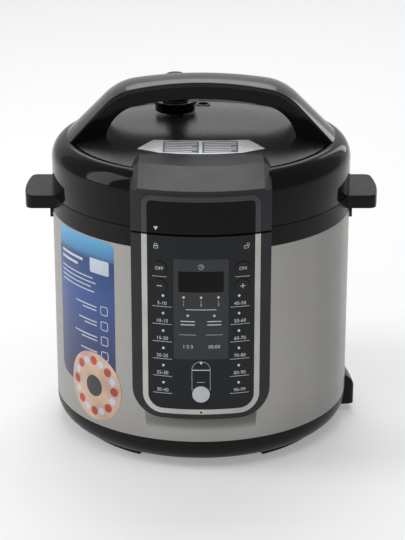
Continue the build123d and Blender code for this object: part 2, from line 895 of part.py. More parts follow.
with BuildPart() as display_module:
    with BuildSketch(Plane.XZ.offset(board_front)):
        with Locations((0, (display_bottom + display_top) / 2)):
            Rectangle(2 * (display_half_width - 1), display_top - display_bottom - 2)
    extrude(amount=depth_at(panel_radius - face_wall - fit_gap, display_half_width) - board_front)
finish(display_module, "display_module")

with BuildPart() as control_board:
    with BuildSketch(Plane.XZ.offset(board_front - board_wall)):
        with Locations((0, (board_low + board_high) / 2)):
            Rectangle(2 * board_half_width, board_high - board_low)
        with Locations(*board_screws):
            Circle(screw_radius + screw_gap, mode=Mode.SUBTRACT)
    extrude(amount=board_wall)
finish(control_board, "control_board")

with BuildPart() as board_screw_set:
    with BuildSketch(Plane.XZ.offset(board_front - board_wall)):
        with Locations(*board_screws):
            Circle(screw_head_radius)
    extrude(amount=-screw_head_height)
    with BuildSketch(Plane.XZ.offset(board_front - board_wall)):
        with Locations(*board_screws):
            Circle(screw_radius)
    extrude(amount=board_wall + (tab_front - board_front) * screw_bite)
finish(board_screw_set, "board_screws")

with BuildPart() as indicator_lamps:
    for x, z in lamp_places:
        with BuildSketch(Plane.XZ.offset(board_front)):
            with Locations((x, z)):
                Circle(lamp_radius)
        extrude(amount=depth_at(panel_radius, x) - board_front)
finish(indicator_lamps, "indicator_lamps")

key_flange_front = depth_at(panel_radius - face_wall, key_offset + key_radius + key_flange) - fit_gap
switch_front = board_front + switch_height
key_back = switch_front + key_travel + fit_gap


def push_key(name, x, z, radius):
    """A push key whose face follows the panel, with a flange that keeps it behind the face plate."""
    with BuildPart() as key:
        with BuildSketch(Plane.XZ.offset(key_flange_front - key_flange_wall)):
            with Locations((x, z)):
                Circle(radius)
        extrude(amount=panel_radius)
        with BuildSketch(Plane.XY):
            Circle(panel_radius + key_proud)
        extrude(amount=ring_top, mode=Mode.INTERSECT)
        rim = key.faces().sort_by(Axis.Y)[0].edges()
        fillet(rim, key_round)
        with BuildSketch(Plane.XZ.offset(key_flange_front - key_flange_wall)):
            with Locations((x, z)):
                Circle(radius + key_flange)
        extrude(amount=key_flange_wall)
        with BuildSketch(Plane.XZ.offset(key_back)):
            with Locations((x, z)):
                Circle(switch_side / 2)
        extrude(amount=key_flange_front - key_back)
    finish(key, name)


push_key("cancel_key", -key_offset, key_heights[0], key_radius)
push_key("confirm_key", key_offset, key_heights[0], key_radius)
push_key("minus_key", -key_offset, key_heights[1], key_radius)
push_key("plus_key", key_offset, key_heights[1], key_radius)
push_key("start_key", 0, start_key_height, start_key_radius)

with BuildPart() as key_switches:
    with BuildSketch(Plane.XZ.offset(board_front)):
        with Locations(*key_places, (0, start_key_height)):
            Rectangle(switch_side, switch_side)
    extrude(amount=switch_body_height)
    with BuildSketch(Plane.XZ.offset(board_front)):
        with Locations(*key_places, (0, start_key_height)):
            Circle(switch_side / 3)
    extrude(amount=switch_height)
finish(key_switches, "key_switches")

# ------------------------------------------------------- base: electrics
inlet_back = inlet_face.offset(-inlet_depth)
with BuildPart() as inlet_socket:
    with BuildSketch(inlet_back):
        RectangleRounded(inlet_width, inlet_tall, inlet_round)
    extrude(amount=inlet_depth)
    with BuildSketch(inlet_face):
        RectangleRounded(inlet_cavity_width, inlet_cavity_tall, inlet_cavity_round)
    extrude(amount=-inlet_cavity_depth, mode=Mode.SUBTRACT)
finish(inlet_socket, "inlet_socket")

with BuildPart() as inlet_blades:
    with BuildSketch(inlet_face.offset(-inlet_cavity_depth)):
        with Locations((-blade_spacing, 0), (blade_spacing, 0), (0, earth_rise)):
            Rectangle(blade_wall, blade_width)
    extrude(amount=blade_length)
finish(inlet_blades, "inlet_blades")

board_seat = pan_floor_top + post_height
with BuildPart() as power_board:
    with BuildSketch(Plane.XY.offset(board_seat)):
        with Locations((0, -power_board_offset)):
            Rectangle(power_board_width, power_board_depth)
        with Locations(*power_posts):
            Circle(screw_radius + screw_gap, mode=Mode.SUBTRACT)
    extrude(amount=board_wall)
finish(power_board, "power_board")

with BuildPart() as power_screws:
    with BuildSketch(Plane.XY.offset(board_seat + board_wall)):
        with Locations(*power_posts):
            Circle(screw_head_radius)
    extrude(amount=screw_head_height)
    with BuildSketch(Plane.XY.offset(board_seat + board_wall)):
        with Locations(*power_posts):
            Circle(screw_radius)
    extrude(amount=-board_wall - post_height * screw_bite)
finish(power_screws, "power_screws")


def board_block(name, place, size):
    """A moulded component standing on the power board."""
    width, depth, height = size
    with BuildPart() as block:
        with BuildSketch(Plane.XY.offset(board_seat + board_wall)):
            with Locations((place[0], place[1] - power_board_offset)):
                RectangleRounded(width, depth, block_corner)
        extrude(amount=height)
        fillet(block.faces().sort_by(Axis.Z)[-1].edges(), block_corner / 2)
    finish(block, name)


board_block("relay", relay_place, relay_size)
board_block("transformer", transformer_place, transformer_size)
board_block("terminal_block", terminal_place, terminal_size)

with BuildPart() as capacitors:
    with BuildSketch(Plane.XY.offset(board_seat + board_wall)):
        with Locations(*[(x, y - power_board_offset) for x, y in capacitor_places]):
            Circle(capacitor_radius)
    extrude(amount=capacitor_height)
finish(capacitors, "capacitors")

# the switch and the fuse are held against the outer pot's floor
with BuildPart() as pressure_switch:
    with BuildSketch(Plane.XY.offset(vessel_floor_bottom)):
        with Locations((0, disc_spring_outer - pressure_switch_inset)):
            Rectangle(pressure_switch_size[0], pressure_switch_size[1])
    extrude(amount=-pressure_switch_size[2])
finish(pressure_switch, "pressure_switch")

with BuildPart() as thermal_fuse:
    with BuildSketch(Plane.XY.offset(vessel_floor_bottom)):
        with Locations((-disc_spring_outer, 0)):
            SlotOverall(thermal_fuse_size[0], thermal_fuse_size[1])
    extrude(amount=-thermal_fuse_size[2])
finish(thermal_fuse, "thermal_fuse")

# ------------------------------------------------------- base: condensate cup
cup_bottom = cup_top - cup_height
cup_back = body_radius + fit_gap + holder_back + fit_gap
arm_inside = cup_half_width + fit_gap

with BuildPart() as cup_holder:
    with BuildSketch(Plane.XY.offset(cup_bottom + cup_height / 3)):
        Circle(holder_reach)
        with Locations((0, holder_reach)):
            Rectangle(2 * (arm_inside + holder_wall), 2 * holder_reach, mode=Mode.INTERSECT)
        Circle(body_radius + fit_gap, mode=Mode.SUBTRACT)
    extrude(amount=cup_height * 2 / 3 + fit_gap + holder_wall)
    with BuildSketch(Plane.XY.offset(cup_bottom)):
        with Locations((0, holder_reach)):
            Rectangle(2 * arm_inside, 2 * holder_reach)
        Circle(body_radius + fit_gap + holder_back, mode=Mode.SUBTRACT)
    extrude(amount=cup_height + fit_gap, mode=Mode.SUBTRACT)
    with BuildSketch(Plane.XY.offset(cup_top)):
        with Locations((0, (cup_back + holder_reach) / 2)):
            Circle(drain_radius)
    extrude(amount=holder_wall * 2, mode=Mode.SUBTRACT)
    # rails that carry the cup by its sides
    with BuildSketch(Plane.XY.offset(cup_top - rail_drop - rail_height)):
        for side in (-1, 1):
            with Locations((side * (arm_inside - rail_depth / 2), (cup_back + holder_reach) / 2)):
                Rectangle(rail_depth, holder_reach - cup_back - 3)
    extrude(amount=rail_height)
finish(cup_holder, "cup_holder")


def cup_plan(inset):
    """Plan of the condensate cup, drawn in by an inset."""
    with BuildSketch() as plan:
        Circle(cup_reach - inset)
        with Locations((0, cup_reach)):
            Rectangle(2 * (cup_half_width - inset), 2 * cup_reach, mode=Mode.INTERSECT)
        Circle(cup_back + inset, mode=Mode.SUBTRACT)
    return plan.sketch


with BuildPart() as condensate_cup:
    with BuildSketch(Plane.XY.offset(cup_bottom)):
        add(cup_plan(0))
    extrude(amount=cup_height)
    with BuildSketch(Plane.XY.offset(cup_bottom + cup_wall)):
        add(cup_plan(cup_wall + rail_depth))
    extrude(amount=cup_height, mode=Mode.SUBTRACT)
    with BuildSketch(Plane.XY.offset(cup_top - rail_drop - rail_height - fit_gap)):
        for side in (-1, 1):
            with Locations((side * cup_half_width, cup_back)):
                Rectangle(2 * (rail_depth - fit_gap / 2), 2 * (holder_reach - cup_back))
    extrude(amount=rail_height + 2 * fit_gap, mode=Mode.SUBTRACT)
finish(condensate_cup, "condensate_cup")

# ------------------------------------------------------------- lid: casing
dome_drop = dome_apex - dome_edge_height
dome_radius = (dome_edge_radius ** 2 + dome_drop ** 2) / (2 * dome_drop)
dome_centre = (0, dome_apex - dome_radius)
land_top = lid_crest_height - groove_depth
groove_radius = lid_crest_radius - groove_width


def dome_height(radius):
    """Height of the dome's outer surface at a radius."""
    return dome_centre[1] + sqrt(dome_radius ** 2 - radius ** 2)


well_top = dome_height(float_y) + well_rise


def dome_arc(rise, reach):
    """Half of the dome's outline, raised or sunk, from a radius to the axis."""
    radius = dome_radius + rise
    turn = degrees(asin(reach / radius))
    return CenterArc(dome_centre, radius, 90 - turn, turn)


def shoulder_arc(inset, drop):
    """The rounded shoulder of the lid, from the skirt up to the crest."""
    return EllipticalCenterArc(
        (lid_crest_radius, lid_skirt_top),
        body_radius - lid_crest_radius - inset,
        lid_crest_height - lid_skirt_top - drop,
        start_angle=0,
        arc_size=90,
    )


def under_lid(gap):
    """Everything under the lid's outer surface, raised by a gap."""
    with BuildPart() as body:
        with BuildSketch(Plane.XZ):
            with BuildLine():
                shoulder = shoulder_arc(-gap, -gap)
                crown = dome_arc(gap, dome_edge_radius + gap)
                Polyline(
                    shoulder @ 1,
                    (groove_radius, land_top + gap),
                    (dome_edge_radius + gap, land_top + gap),
                    crown @ 0,
                )
                Polyline(
                    crown @ 1,
                    (0, base_height),
                    (body_radius + gap, base_height),
                    shoulder @ 0,
                )
            make_face()
        revolve(axis=Axis.Z)
    return body.part


with BuildPart() as lid_ring:
    with BuildSketch(Plane.XZ):
        with BuildLine():
            skin = shoulder_arc(0, 0)
            inside = shoulder_arc(lid_wall, groove_depth + lid_wall)
            Polyline(
                skin @ 1,
                (groove_radius, land_top),
                (land_radius, land_top),
                (land_radius, land_top - lid_wall),
                inside @ 1,
            )
            Polyline(
                inside @ 0,
                (body_radius - lid_wall, lid_bottom),
                (body_radius, lid_bottom),
                skin @ 0,
            )
        make_face()
    revolve(axis=Axis.Z)
finish(lid_ring, "lid_ring")

post_places = [around(post_circle, azimuth) for azimuth in post_azimuths]

with BuildPart() as lid_posts:
    with BuildSketch(Plane.XY.offset(press_dome_height)):
        with Locations(*post_places):
            Circle(post_radius)
    extrude(amount=dome_apex - press_dome_height)
    add(under_lid(-lid_wall / 2), mode=Mode.INTERSECT)

with BuildPart() as lid_dome:
    with BuildSketch(Plane.XZ):
        with BuildLine():
            outer_arc = dome_arc(0, dome_edge_radius)
            inner_arc = dome_arc(-lid_wall, land_radius - fit_gap)
            Polyline(
                outer_arc @ 0,
                (dome_edge_radius, land_top),
                (land_radius - fit_gap, land_top),
                inner_arc @ 0,
            )
            Line(inner_arc @ 1, outer_arc @ 1)
        make_face()
    revolve(axis=Axis.Z)
    add(lid_posts.part)
    with BuildSketch(Plane.XY.offset(dome_height(float_y) - lid_wall)):
        with Locations((float_x, float_y)):
            Circle(well_radius)
    extrude(amount=well_top - dome_height(float_y) + lid_wall)
    with BuildSketch(Plane.XY.offset(press_dome_height)):
        with Locations((float_x, float_y)):
            Circle(well_bore)
        with Locations((pipe_x, pipe_y)):
            Circle(pipe_collar_radius + fit_gap)
    extrude(amount=dome_apex, mode=Mode.SUBTRACT)
    with BuildSketch(Plane.XY.offset(press_dome_height)):
        with Locations(*post_places):
            Circle(screw_radius + screw_gap)
    extrude(amount=boss_height, mode=Mode.SUBTRACT)
finish(lid_dome, "lid_dome")


# -------------------------------------------------------- lid: arch handle
def crown_line(depth):
    """Half of a line along the arch at a depth below its top, from the middle outwards."""
    turn = degrees(asin(arch_crown_half / arch_crown_radius))
    crown_centre = Vector(0, arch_top - arch_crown_radius)
    lean = Vector(sin(radians(turn)), cos(radians(turn)))
    bend_centre = crown_centre + lean * (arch_crown_radius - arch_bend_radius)
    crown = CenterArc(crown_centre, arch_crown_radius - depth, 90, -turn)
    bend = CenterArc(bend_centre, arch_bend_radius - depth, 90 - turn, turn - arch_slope)
    run = (arch_run - (bend @ 1).X) / cos(radians(arch_slope))
    slope = PolarLine(bend @ 1, run, -arch_slope)
    return crown @ 0, slope @ 1


def underside_line(rise):
    """Half of the arch's underside, raised, from the middle down to the legs."""
    turn = degrees(asin(underside_half / underside_radius))
    crown_centre = Vector(0, underside_top - underside_radius)
    lean = Vector(sin(radians(turn)), cos(radians(turn)))
    bend_centre = crown_centre + lean * (underside_radius - underside_bend)
    crown = CenterArc(crown_centre, underside_radius + rise, 90, -turn)
    bend = CenterArc(bend_centre, underside_bend + rise, 90 - turn, turn - 90)
    return crown @ 0, bend @ 1


def arch_half(depth, rise, low):
    """The right half of the arch, seen from the front, between two lines and a low level."""
    with BuildSketch() as half:
        with BuildLine():
            top_middle, top_end = crown_line(depth)
            low_middle, low_end = underside_line(rise)
            Line(top_middle, low_middle)
            Polyline(top_end, (arch_run, low), (low_end.X, low), low_end)
        make_face()
    return half.sketch


def arch_plan(inset):
    """Plan of the arch, narrow at the middle, wide and rounded at both ends."""
    end = arch_end_radius
    with BuildSketch() as plan:
        with BuildLine():
            front = ThreePointArc(
                (-end, inset - arch_end_half_depth),
                (0, inset - arch_half_depth),
                (end, inset - arch_end_half_depth),
            )
            back = ThreePointArc(
                (-end, arch_end_half_depth - inset),
                (0, arch_half_depth - inset),
                (end, arch_end_half_depth - inset),
            )
            Line(front @ 0, back @ 0)
            Line(front @ 1, back @ 1)
        make_face()
        Circle(arch_end_radius - inset, mode=Mode.INTERSECT)
    return plan.sketch


def arch_block(half, inset):
    """Both halves of an arch outline, drawn front to back and trimmed to the plan."""
    with BuildPart() as block:
        with BuildSketch(Plane.XZ):
            add(half)
        extrude(amount=arch_end_half_depth + arch_edge, both=True)
        mirror(about=Plane.YZ)
        with BuildSketch(Plane.XY):
            add(arch_plan(inset))
        extrude(amount=arch_top + arch_edge, mode=Mode.INTERSECT)
    return block.part


seat_gap = fit_gap / 3
crown_drop = arch_crown_curve - depth_at(arch_crown_curve, arch_half_depth)
cover_depth = arch_cover_wall + crown_drop
crown_half = arch_end_half_depth + arch_edge

with BuildLine() as crown_path:
    crown_line(0)

with BuildPart() as arch_cover:
    with BuildSketch(Plane.YZ):
        with BuildLine():
            edge_height = arch_top - arch_crown_curve + depth_at(arch_crown_curve, crown_half)
            crown = ThreePointArc((-crown_half, edge_height), (0, arch_top), (crown_half, edge_height))
            Polyline(
                crown @ 1,
                (crown_half, arch_top - cover_depth),
                (-crown_half, arch_top - cover_depth),
                crown @ 0,
            )
        make_face()
    sweep(path=Plane.XZ.from_local_coords(crown_path.wire()))
    mirror(about=Plane.YZ)
    with BuildSketch(Plane.XY):
        add(arch_plan(0))
    extrude(amount=arch_top + arch_edge, mode=Mode.INTERSECT)
    sky = [f for f in arch_cover.faces() if f.normal_at().Z > 0.5]
    rims = ShapeList(
        e for f in sky for e in f.edges() if abs((e @ 0.5).Y) > arch_half_depth - arch_edge
    )
    fillet(rims, arch_edge)
    add(under_lid(seat_gap), mode=Mode.SUBTRACT)
finish(arch_cover, "arch_cover")

with BuildPart() as arch_body:
    add(arch_block(arch_half(cover_depth, 0, lid_skirt_top), 0))
    with BuildSketch() as hollow:
        add(arch_half(cover_depth, arch_shell, lid_skirt_top))
        with Locations((0, (dome_apex + arch_top) / 2)):
            Rectangle(2 * arch_run, arch_top - dome_apex, mode=Mode.INTERSECT)
    add(arch_block(hollow.sketch, arch_shell), mode=Mode.SUBTRACT)
    add(under_lid(seat_gap), mode=Mode.SUBTRACT)
finish(arch_body, "arch_body")

# ------------------------------------------------- lid: bracket and panel
with BuildPart() as front_bracket:
    add(turned([
        (bracket_reach, lid_skirt_top),
        (bracket_reach, bracket_top),
        (bracket_ridge_radius, bracket_top),
        (bracket_lip_radius, bracket_lip_top),
        (bracket_lip_radius, bracket_lip_top - bracket_lip_wall),
        (panel_radius, bracket_lip_top - bracket_lip_wall - 1),
        (panel_radius, lid_panel_bottom),
        (bracket_ridge_radius, lid_panel_bottom),
        (bracket_ridge_radius, lid_skirt_top),
    ]))
    with BuildSketch(Plane.XZ):
        with Locations((0, arch_top / 2)):
            Rectangle(2 * panel_half_width, arch_top)
    extrude(amount=bracket_lip_radius, mode=Mode.INTERSECT)
    with BuildSketch(Plane.XZ):
        with Locations((0, arch_top / 2)):
            Rectangle(2 * body_radius, arch_top)
    extrude(amount=bracket_reach, mode=Mode.SUBTRACT)
    tops = [f for f in front_bracket.faces() if f.normal_at().Z > 0.5]
    sides = ShapeList(
        e for f in tops for e in f.edges() if abs((e @ 0.5).X) > panel_half_width - fit_gap
    )
    chamfer(sides, bracket_bevel)
    add(under_lid(seat_gap), mode=Mode.SUBTRACT)
    add(
        upright_plate(
            panel_outline(
                trim_half_width + fit_gap / 2, lid_panel_bottom - 1, lid_panel_top, lid_panel_corner, -1
            ),
            panel_radius - trim_depth,
            panel_radius + 1,
        ),
        mode=Mode.SUBTRACT,
    )
finish(front_bracket, "front_bracket")

with BuildPart() as lid_trim:
    add(upright_plate(
        panel_outline(
            trim_half_width, lid_panel_bottom, lid_panel_top - fit_gap / 2, lid_panel_corner, -1
        ),
        panel_radius - trim_depth,
        panel_radius,
    ))
    add(
        upright_plate(
            panel_outline(
                face_half_width,
                lid_panel_bottom - 1,
                lid_panel_top - trim_width,
                lid_panel_corner - trim_width,
                -1,
            ),
            body_radius,
            panel_radius + 1,
        ),
        mode=Mode.SUBTRACT,
    )
finish(lid_trim, "lid_trim")

with BuildPart() as lid_panel:
    add(upright_plate(
        panel_outline(
            face_half_width - fit_gap / 2,
            lid_panel_bottom,
            lid_panel_top - trim_width - fit_gap / 2,
            lid_panel_corner - trim_width,
            -1,
        ),
        panel_radius - trim_depth,
        panel_radius,
    ))
finish(lid_panel, "lid_panel")

# ---------------------------------------------------- lid: pressure lid
press_radius = tooth_tip_radius - loose_gap
press_bottom = rim_top + press_skirt_gap
press_shoulder_height = tooth_top + press_rise
press_under = press_shoulder_height - press_wall
press_neck = press_radius - seal_width - 2 * fit_gap - rack_wall - press_wall
press_dome_radius = press_neck + press_wall - press_slope_width
float_bore = float_stem_radius + running_gap

with BuildPart() as pressure_lid:
    add(turned([
        (press_radius, press_bottom),
        (press_radius, press_shoulder_height),
        (press_neck + press_wall, press_shoulder_height),
        (press_dome_radius, press_dome_height),
        (0, press_dome_height),
        (0, press_dome_height - press_wall),
        (press_dome_radius - press_wall, press_dome_height - press_wall),
        (press_neck, press_under),
        (press_radius - press_wall, press_under),
        (press_radius - press_wall, press_bottom),
    ]))
    with BuildSketch(Plane.XY.offset(lug_bottom)):
        for azimuth in tooth_azimuths:
            add(ring_sector(
                press_radius - press_wall / 2, vessel_radius - 2 * fit_gap, azimuth, lug_half_angle
            ))
    extrude(amount=lug_wall)
    with BuildSketch(Plane.XY.offset(press_dome_height - press_wall)):
        with Locations((pipe_x, pipe_y)):
            Circle(pipe_radius + screw_gap)
        with Locations((float_x, float_y)):
            Circle(float_bore)
        with Locations(*post_places):
            Circle(screw_radius + screw_gap)
    extrude(amount=press_wall, mode=Mode.SUBTRACT)
finish(pressure_lid, "pressure_lid")

seal_outer = press_radius - press_wall - fit_gap
seal_inner = seal_outer - seal_width
seal_top = press_under - fit_gap
seal_bottom = rim_top + seal_lift

with BuildPart() as sealing_ring:
    add(turned([
        (seal_inner, seal_top),
        (seal_outer, seal_top),
        (seal_outer, seal_bottom),
        (seal_outer - seal_lip, seal_bottom),
        (seal_outer - seal_lip, seal_bottom + seal_tip),
        (seal_outer - seal_wall, seal_bottom + seal_wall),
        (seal_outer - seal_wall, seal_top - seal_wall),
        (seal_inner, seal_top - seal_wall),
    ]))
finish(sealing_ring, "sealing_ring")

rack_outer = seal_inner - fit_gap
with BuildPart() as seal_rack:
    add(turned([
        (rack_outer - rack_wall, press_under),
        (rack_outer, press_under),
        (rack_outer, press_under - rack_height),
        (rack_outer - 3 * rack_wall, press_under - rack_height),
        (rack_outer - 3 * rack_wall, press_under - rack_height + rack_wall),
        (rack_outer - rack_wall, press_under - rack_height + rack_wall),
    ]))
finish(seal_rack, "seal_rack")

with BuildPart() as lid_screws:
    with BuildSketch(Plane.XY.offset(press_dome_height - press_wall)):
        with Locations(*post_places):
            Circle(screw_head_radius)
    extrude(amount=-screw_head_height)
    with BuildSketch(Plane.XY.offset(press_dome_height - press_wall)):
        with Locations(*post_places):
            Circle(screw_radius)
    extrude(amount=press_wall + boss_height * screw_bite)
finish(lid_screws, "lid_screws")


def turned_at(points, x, y):
    """A solid turned about an upright axis at x, y from (radius, height) points."""
    stand = Plane(origin=(x, y, 0), x_dir=(1, 0, 0), z_dir=(0, -1, 0))
    with BuildPart() as body:
        with BuildSketch(stand):
            with BuildLine():
                Polyline(*points, close=True)
            make_face()
        revolve(axis=Axis((x, y, 0), (0, 0, 1)))
    return body.part


pipe_bottom = press_dome_height - press_wall - pipe_tail
collar_top = knob_base - fit_gap
pipe_top = collar_top + pipe_head

with BuildPart() as exhaust_pipe:
    add(turned_at([
        (pipe_bore, pipe_bottom),
        (pipe_radius, pipe_bottom),
        (pipe_radius, press_dome_height),
        (pipe_nut_radius, press_dome_height),
        (pipe_nut_radius, press_dome_height + pipe_nut_height),
        (pipe_radius, press_dome_height + pipe_nut_height),
        (pipe_radius, collar_top - pipe_collar_height),
        (pipe_collar_radius, collar_top - pipe_collar_height),
        (pipe_collar_radius, collar_top),
        (pipe_radius, collar_top),
        (pipe_radius, pipe_top),
        (pipe_bore, pipe_top),
    ], pipe_x, pipe_y))
finish(exhaust_pipe, "exhaust_pipe")

with BuildPart() as pipe_shield:
    add(turned_at([
        (shield_radius - sheet_wall, press_dome_height - press_wall),
        (shield_radius, press_dome_height - press_wall),
        (shield_radius, press_dome_height - press_wall - shield_depth),
        (0, press_dome_height - press_wall - shield_depth),
        (0, press_dome_height - press_wall - shield_depth + sheet_wall),
        (shield_radius - sheet_wall, press_dome_height - press_wall - shield_depth + sheet_wall),
    ], pipe_x, pipe_y))
    with BuildSketch(Plane.XY.offset(press_dome_height - press_wall - shield_depth + 3 * sheet_wall)):
        with Locations((pipe_x, pipe_y)):
            with PolarLocations(shield_radius, shield_slots):
                Rectangle(4 * sheet_wall, 2 * sheet_wall)
    extrude(amount=shield_depth - 5 * sheet_wall, mode=Mode.SUBTRACT)
finish(pipe_shield, "pipe_shield")

with BuildPart() as steam_knob:
    add(turned_at([
        (pipe_radius + fit_gap, knob_base),
        (knob_body_radius, knob_base),
        (knob_body_radius, knob_flange_height - knob_flange_wall),
        (knob_flange_radius, knob_flange_height - knob_flange_wall),
        (knob_flange_radius, knob_flange_height),
        (knob_grip_radius, knob_flange_height),
        (knob_tip_radius, knob_top),
        (0, knob_top),
        (0, pipe_top + 4 * fit_gap),
        (pipe_radius + fit_gap, pipe_top + 4 * fit_gap),
    ], pipe_x, pipe_y))
    fillet(steam_knob.faces().sort_by(Axis.Z)[-1].edges(), knob_tip_radius / 4)
    # pointer that shows which way the knob is turned
    with BuildSketch(Plane.XY.offset(knob_flange_height)):
        with Locations((pipe_x, pipe_y - (knob_flange_radius + knob_grip_radius) / 2)):
            Rectangle(knob_pointer_width, knob_flange_radius - knob_grip_radius - 1)
    extrude(amount=knob_flange_wall / 2)
finish(steam_knob, "steam_knob")

float_seal_top = press_dome_height - press_wall - float_travel - fit_gap
with BuildPart() as float_pin:
    add(turned_at([
        (0, float_seal_top - float_seal_wall - sheet_wall),
        (float_collar_radius, float_seal_top - float_seal_wall - sheet_wall),
        (float_collar_radius, float_seal_top - float_seal_wall),
        (float_stem_radius, float_seal_top - float_seal_wall),
        (float_stem_radius, press_dome_height),
        (float_collar_radius, press_dome_height),
        (float_collar_radius, press_dome_height + float_collar_height),
        (float_stem_radius, press_dome_height + float_collar_height),
        (float_stem_radius, well_top - float_sink),
        (0, well_top - float_sink),
    ], float_x, float_y))
finish(float_pin, "float_pin")

with BuildPart() as float_seal:
    add(turned_at([
        (float_stem_radius, float_seal_top - float_seal_wall),
        (float_seal_radius, float_seal_top - float_seal_wall),
        (float_seal_radius, float_seal_top),
        (float_stem_radius, float_seal_top),
    ], float_x, float_y))
finish(float_seal, "float_seal")
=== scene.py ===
"""Finish, fine parts and studio for an electric pressure cooker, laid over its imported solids."""

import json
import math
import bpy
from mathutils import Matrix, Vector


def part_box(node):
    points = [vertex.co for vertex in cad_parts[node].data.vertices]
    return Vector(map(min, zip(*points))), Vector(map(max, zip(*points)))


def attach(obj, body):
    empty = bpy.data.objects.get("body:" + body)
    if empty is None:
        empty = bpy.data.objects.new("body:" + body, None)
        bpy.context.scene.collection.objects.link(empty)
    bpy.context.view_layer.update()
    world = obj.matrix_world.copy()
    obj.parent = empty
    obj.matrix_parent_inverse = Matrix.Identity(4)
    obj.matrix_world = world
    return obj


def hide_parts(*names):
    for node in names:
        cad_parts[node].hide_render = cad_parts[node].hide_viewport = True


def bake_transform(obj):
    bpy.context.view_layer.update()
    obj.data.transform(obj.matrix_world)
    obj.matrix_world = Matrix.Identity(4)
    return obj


bl_info = {
    "name": "Pressure cooker finish",
    "version": (1, 0, 0),
    "blender": (4, 5, 0),
    "location": "3D View > Sidebar > Cooker",
    "description": "Gives an electric pressure cooker its finishes, fine parts and a studio",
    "category": "Add Mesh",
}

import bmesh
import bpy
from bpy.props import FloatProperty, FloatVectorProperty, IntProperty, PointerProperty
from mathutils import Matrix, Vector

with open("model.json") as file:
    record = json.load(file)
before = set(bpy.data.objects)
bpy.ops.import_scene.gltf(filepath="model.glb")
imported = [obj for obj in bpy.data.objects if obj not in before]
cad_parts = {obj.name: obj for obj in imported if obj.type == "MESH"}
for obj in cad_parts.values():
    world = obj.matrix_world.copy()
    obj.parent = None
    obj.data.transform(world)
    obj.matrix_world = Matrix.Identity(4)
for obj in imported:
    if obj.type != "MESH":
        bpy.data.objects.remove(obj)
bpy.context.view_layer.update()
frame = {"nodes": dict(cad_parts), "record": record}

MM = 0.001
SLEEVE_LOW, SLEEVE_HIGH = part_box("steel_sleeve")
LID_LOW, LID_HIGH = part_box("lid_ring")
DOME_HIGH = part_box("lid_dome")[1]
PANEL_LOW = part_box("panel_face")[0]
HOUSING_LOW, HOUSING_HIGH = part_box("panel_housing")
KNOB_LOW, KNOB_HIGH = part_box("steam_knob")

BODY_RADIUS = SLEEVE_HIGH.x
PANEL_RADIUS = -PANEL_LOW.y
FULL_TURN = 2 * math.pi
LABEL_LOW, LABEL_HIGH = SLEEVE_LOW.z + 36 * MM, SLEEVE_HIGH.z - 1.5 * MM


# ------------------------------------------------------------------- sizes
class CookerSizes(bpy.types.PropertyGroup):
    """Sizes of the fine parts"""

    turn_steps: IntProperty(
        name="Turn steps", description="Faces round a turned part", default=224, min=24
    )
    sleeve_wall: FloatProperty(
        name="Sleeve wall",
        description="Thickness of the steel body",
        default=0.8 * MM,
        subtype="DISTANCE",
        unit="LENGTH",
    )
    hem: FloatProperty(
        name="Hem",
        description="How far the steel's lower edge rolls in",
        default=0.8 * MM,
        subtype="DISTANCE",
        unit="LENGTH",
    )
    mark_depth: FloatProperty(
        name="Print depth",
        description="How far printed marks stand out from the panel",
        default=0.06 * MM,
        subtype="DISTANCE",
        unit="LENGTH",
    )
    line_width: FloatProperty(
        name="Line width",
        description="Width of printed lines",
        default=0.42 * MM,
        subtype="DISTANCE",
        unit="LENGTH",
    )
    digit_height: FloatProperty(
        name="Digit height",
        description="Height of the printed numbers",
        default=3.4 * MM,
        subtype="DISTANCE",
        unit="LENGTH",
    )


class CookerColours(bpy.types.PropertyGroup):
    """Colours that a user would change"""

    steel: FloatVectorProperty(
        name="Steel", description="Tint of the brushed body", default=(0.38, 0.374, 0.358),
        subtype="COLOR", size=3, min=0.0, max=1.0,
    )
    gloss: FloatVectorProperty(
        name="Gloss", description="Glossy plastic of the lid and arch", default=(0.006, 0.006, 0.0065),
        subtype="COLOR", size=3, min=0.0, max=1.0,
    )
    moulded: FloatVectorProperty(
        name="Moulded", description="Satin plastic of the base and handles", default=(0.012, 0.012, 0.0125),
        subtype="COLOR", size=3, min=0.0, max=1.0,
    )
    matte: FloatVectorProperty(
        name="Matte", description="Satin plastic of the dome and bracket", default=(0.010, 0.0105, 0.0115),
        subtype="COLOR", size=3, min=0.0, max=1.0,
    )
    trim: FloatVectorProperty(
        name="Trim", description="Silver strip round the panel", default=(0.56, 0.56, 0.53),
        subtype="COLOR", size=3, min=0.0, max=1.0,
    )
    print_white: FloatVectorProperty(
        name="Print", description="Printed marks", default=(0.66, 0.68, 0.71),
        subtype="COLOR", size=3, min=0.0, max=1.0,
    )
    floor: FloatVectorProperty(
        name="Floor", description="Studio floor and backdrop", default=(0.72, 0.72, 0.72),
        subtype="COLOR", size=3, min=0.0, max=1.0,
    )


# --------------------------------------------------------------- materials
FINISHES = {}


def new_finish(name, colour, roughness, metallic=0.0):
    """A material with its shader, and the coordinates that its patterns read."""
    material = bpy.data.materials.new("finish_" + name)
    FINISHES[name] = material
    material.use_nodes = True
    nodes = material.node_tree.nodes
    shader = nodes["Principled BSDF"]
    shader.inputs["Base Color"].default_value = (*colour, 1.0)
    shader.inputs["Roughness"].default_value = roughness
    shader.inputs["Metallic"].default_value = metallic
    place = nodes.new("ShaderNodeTexCoord")
    place.name = "Place"
    return material


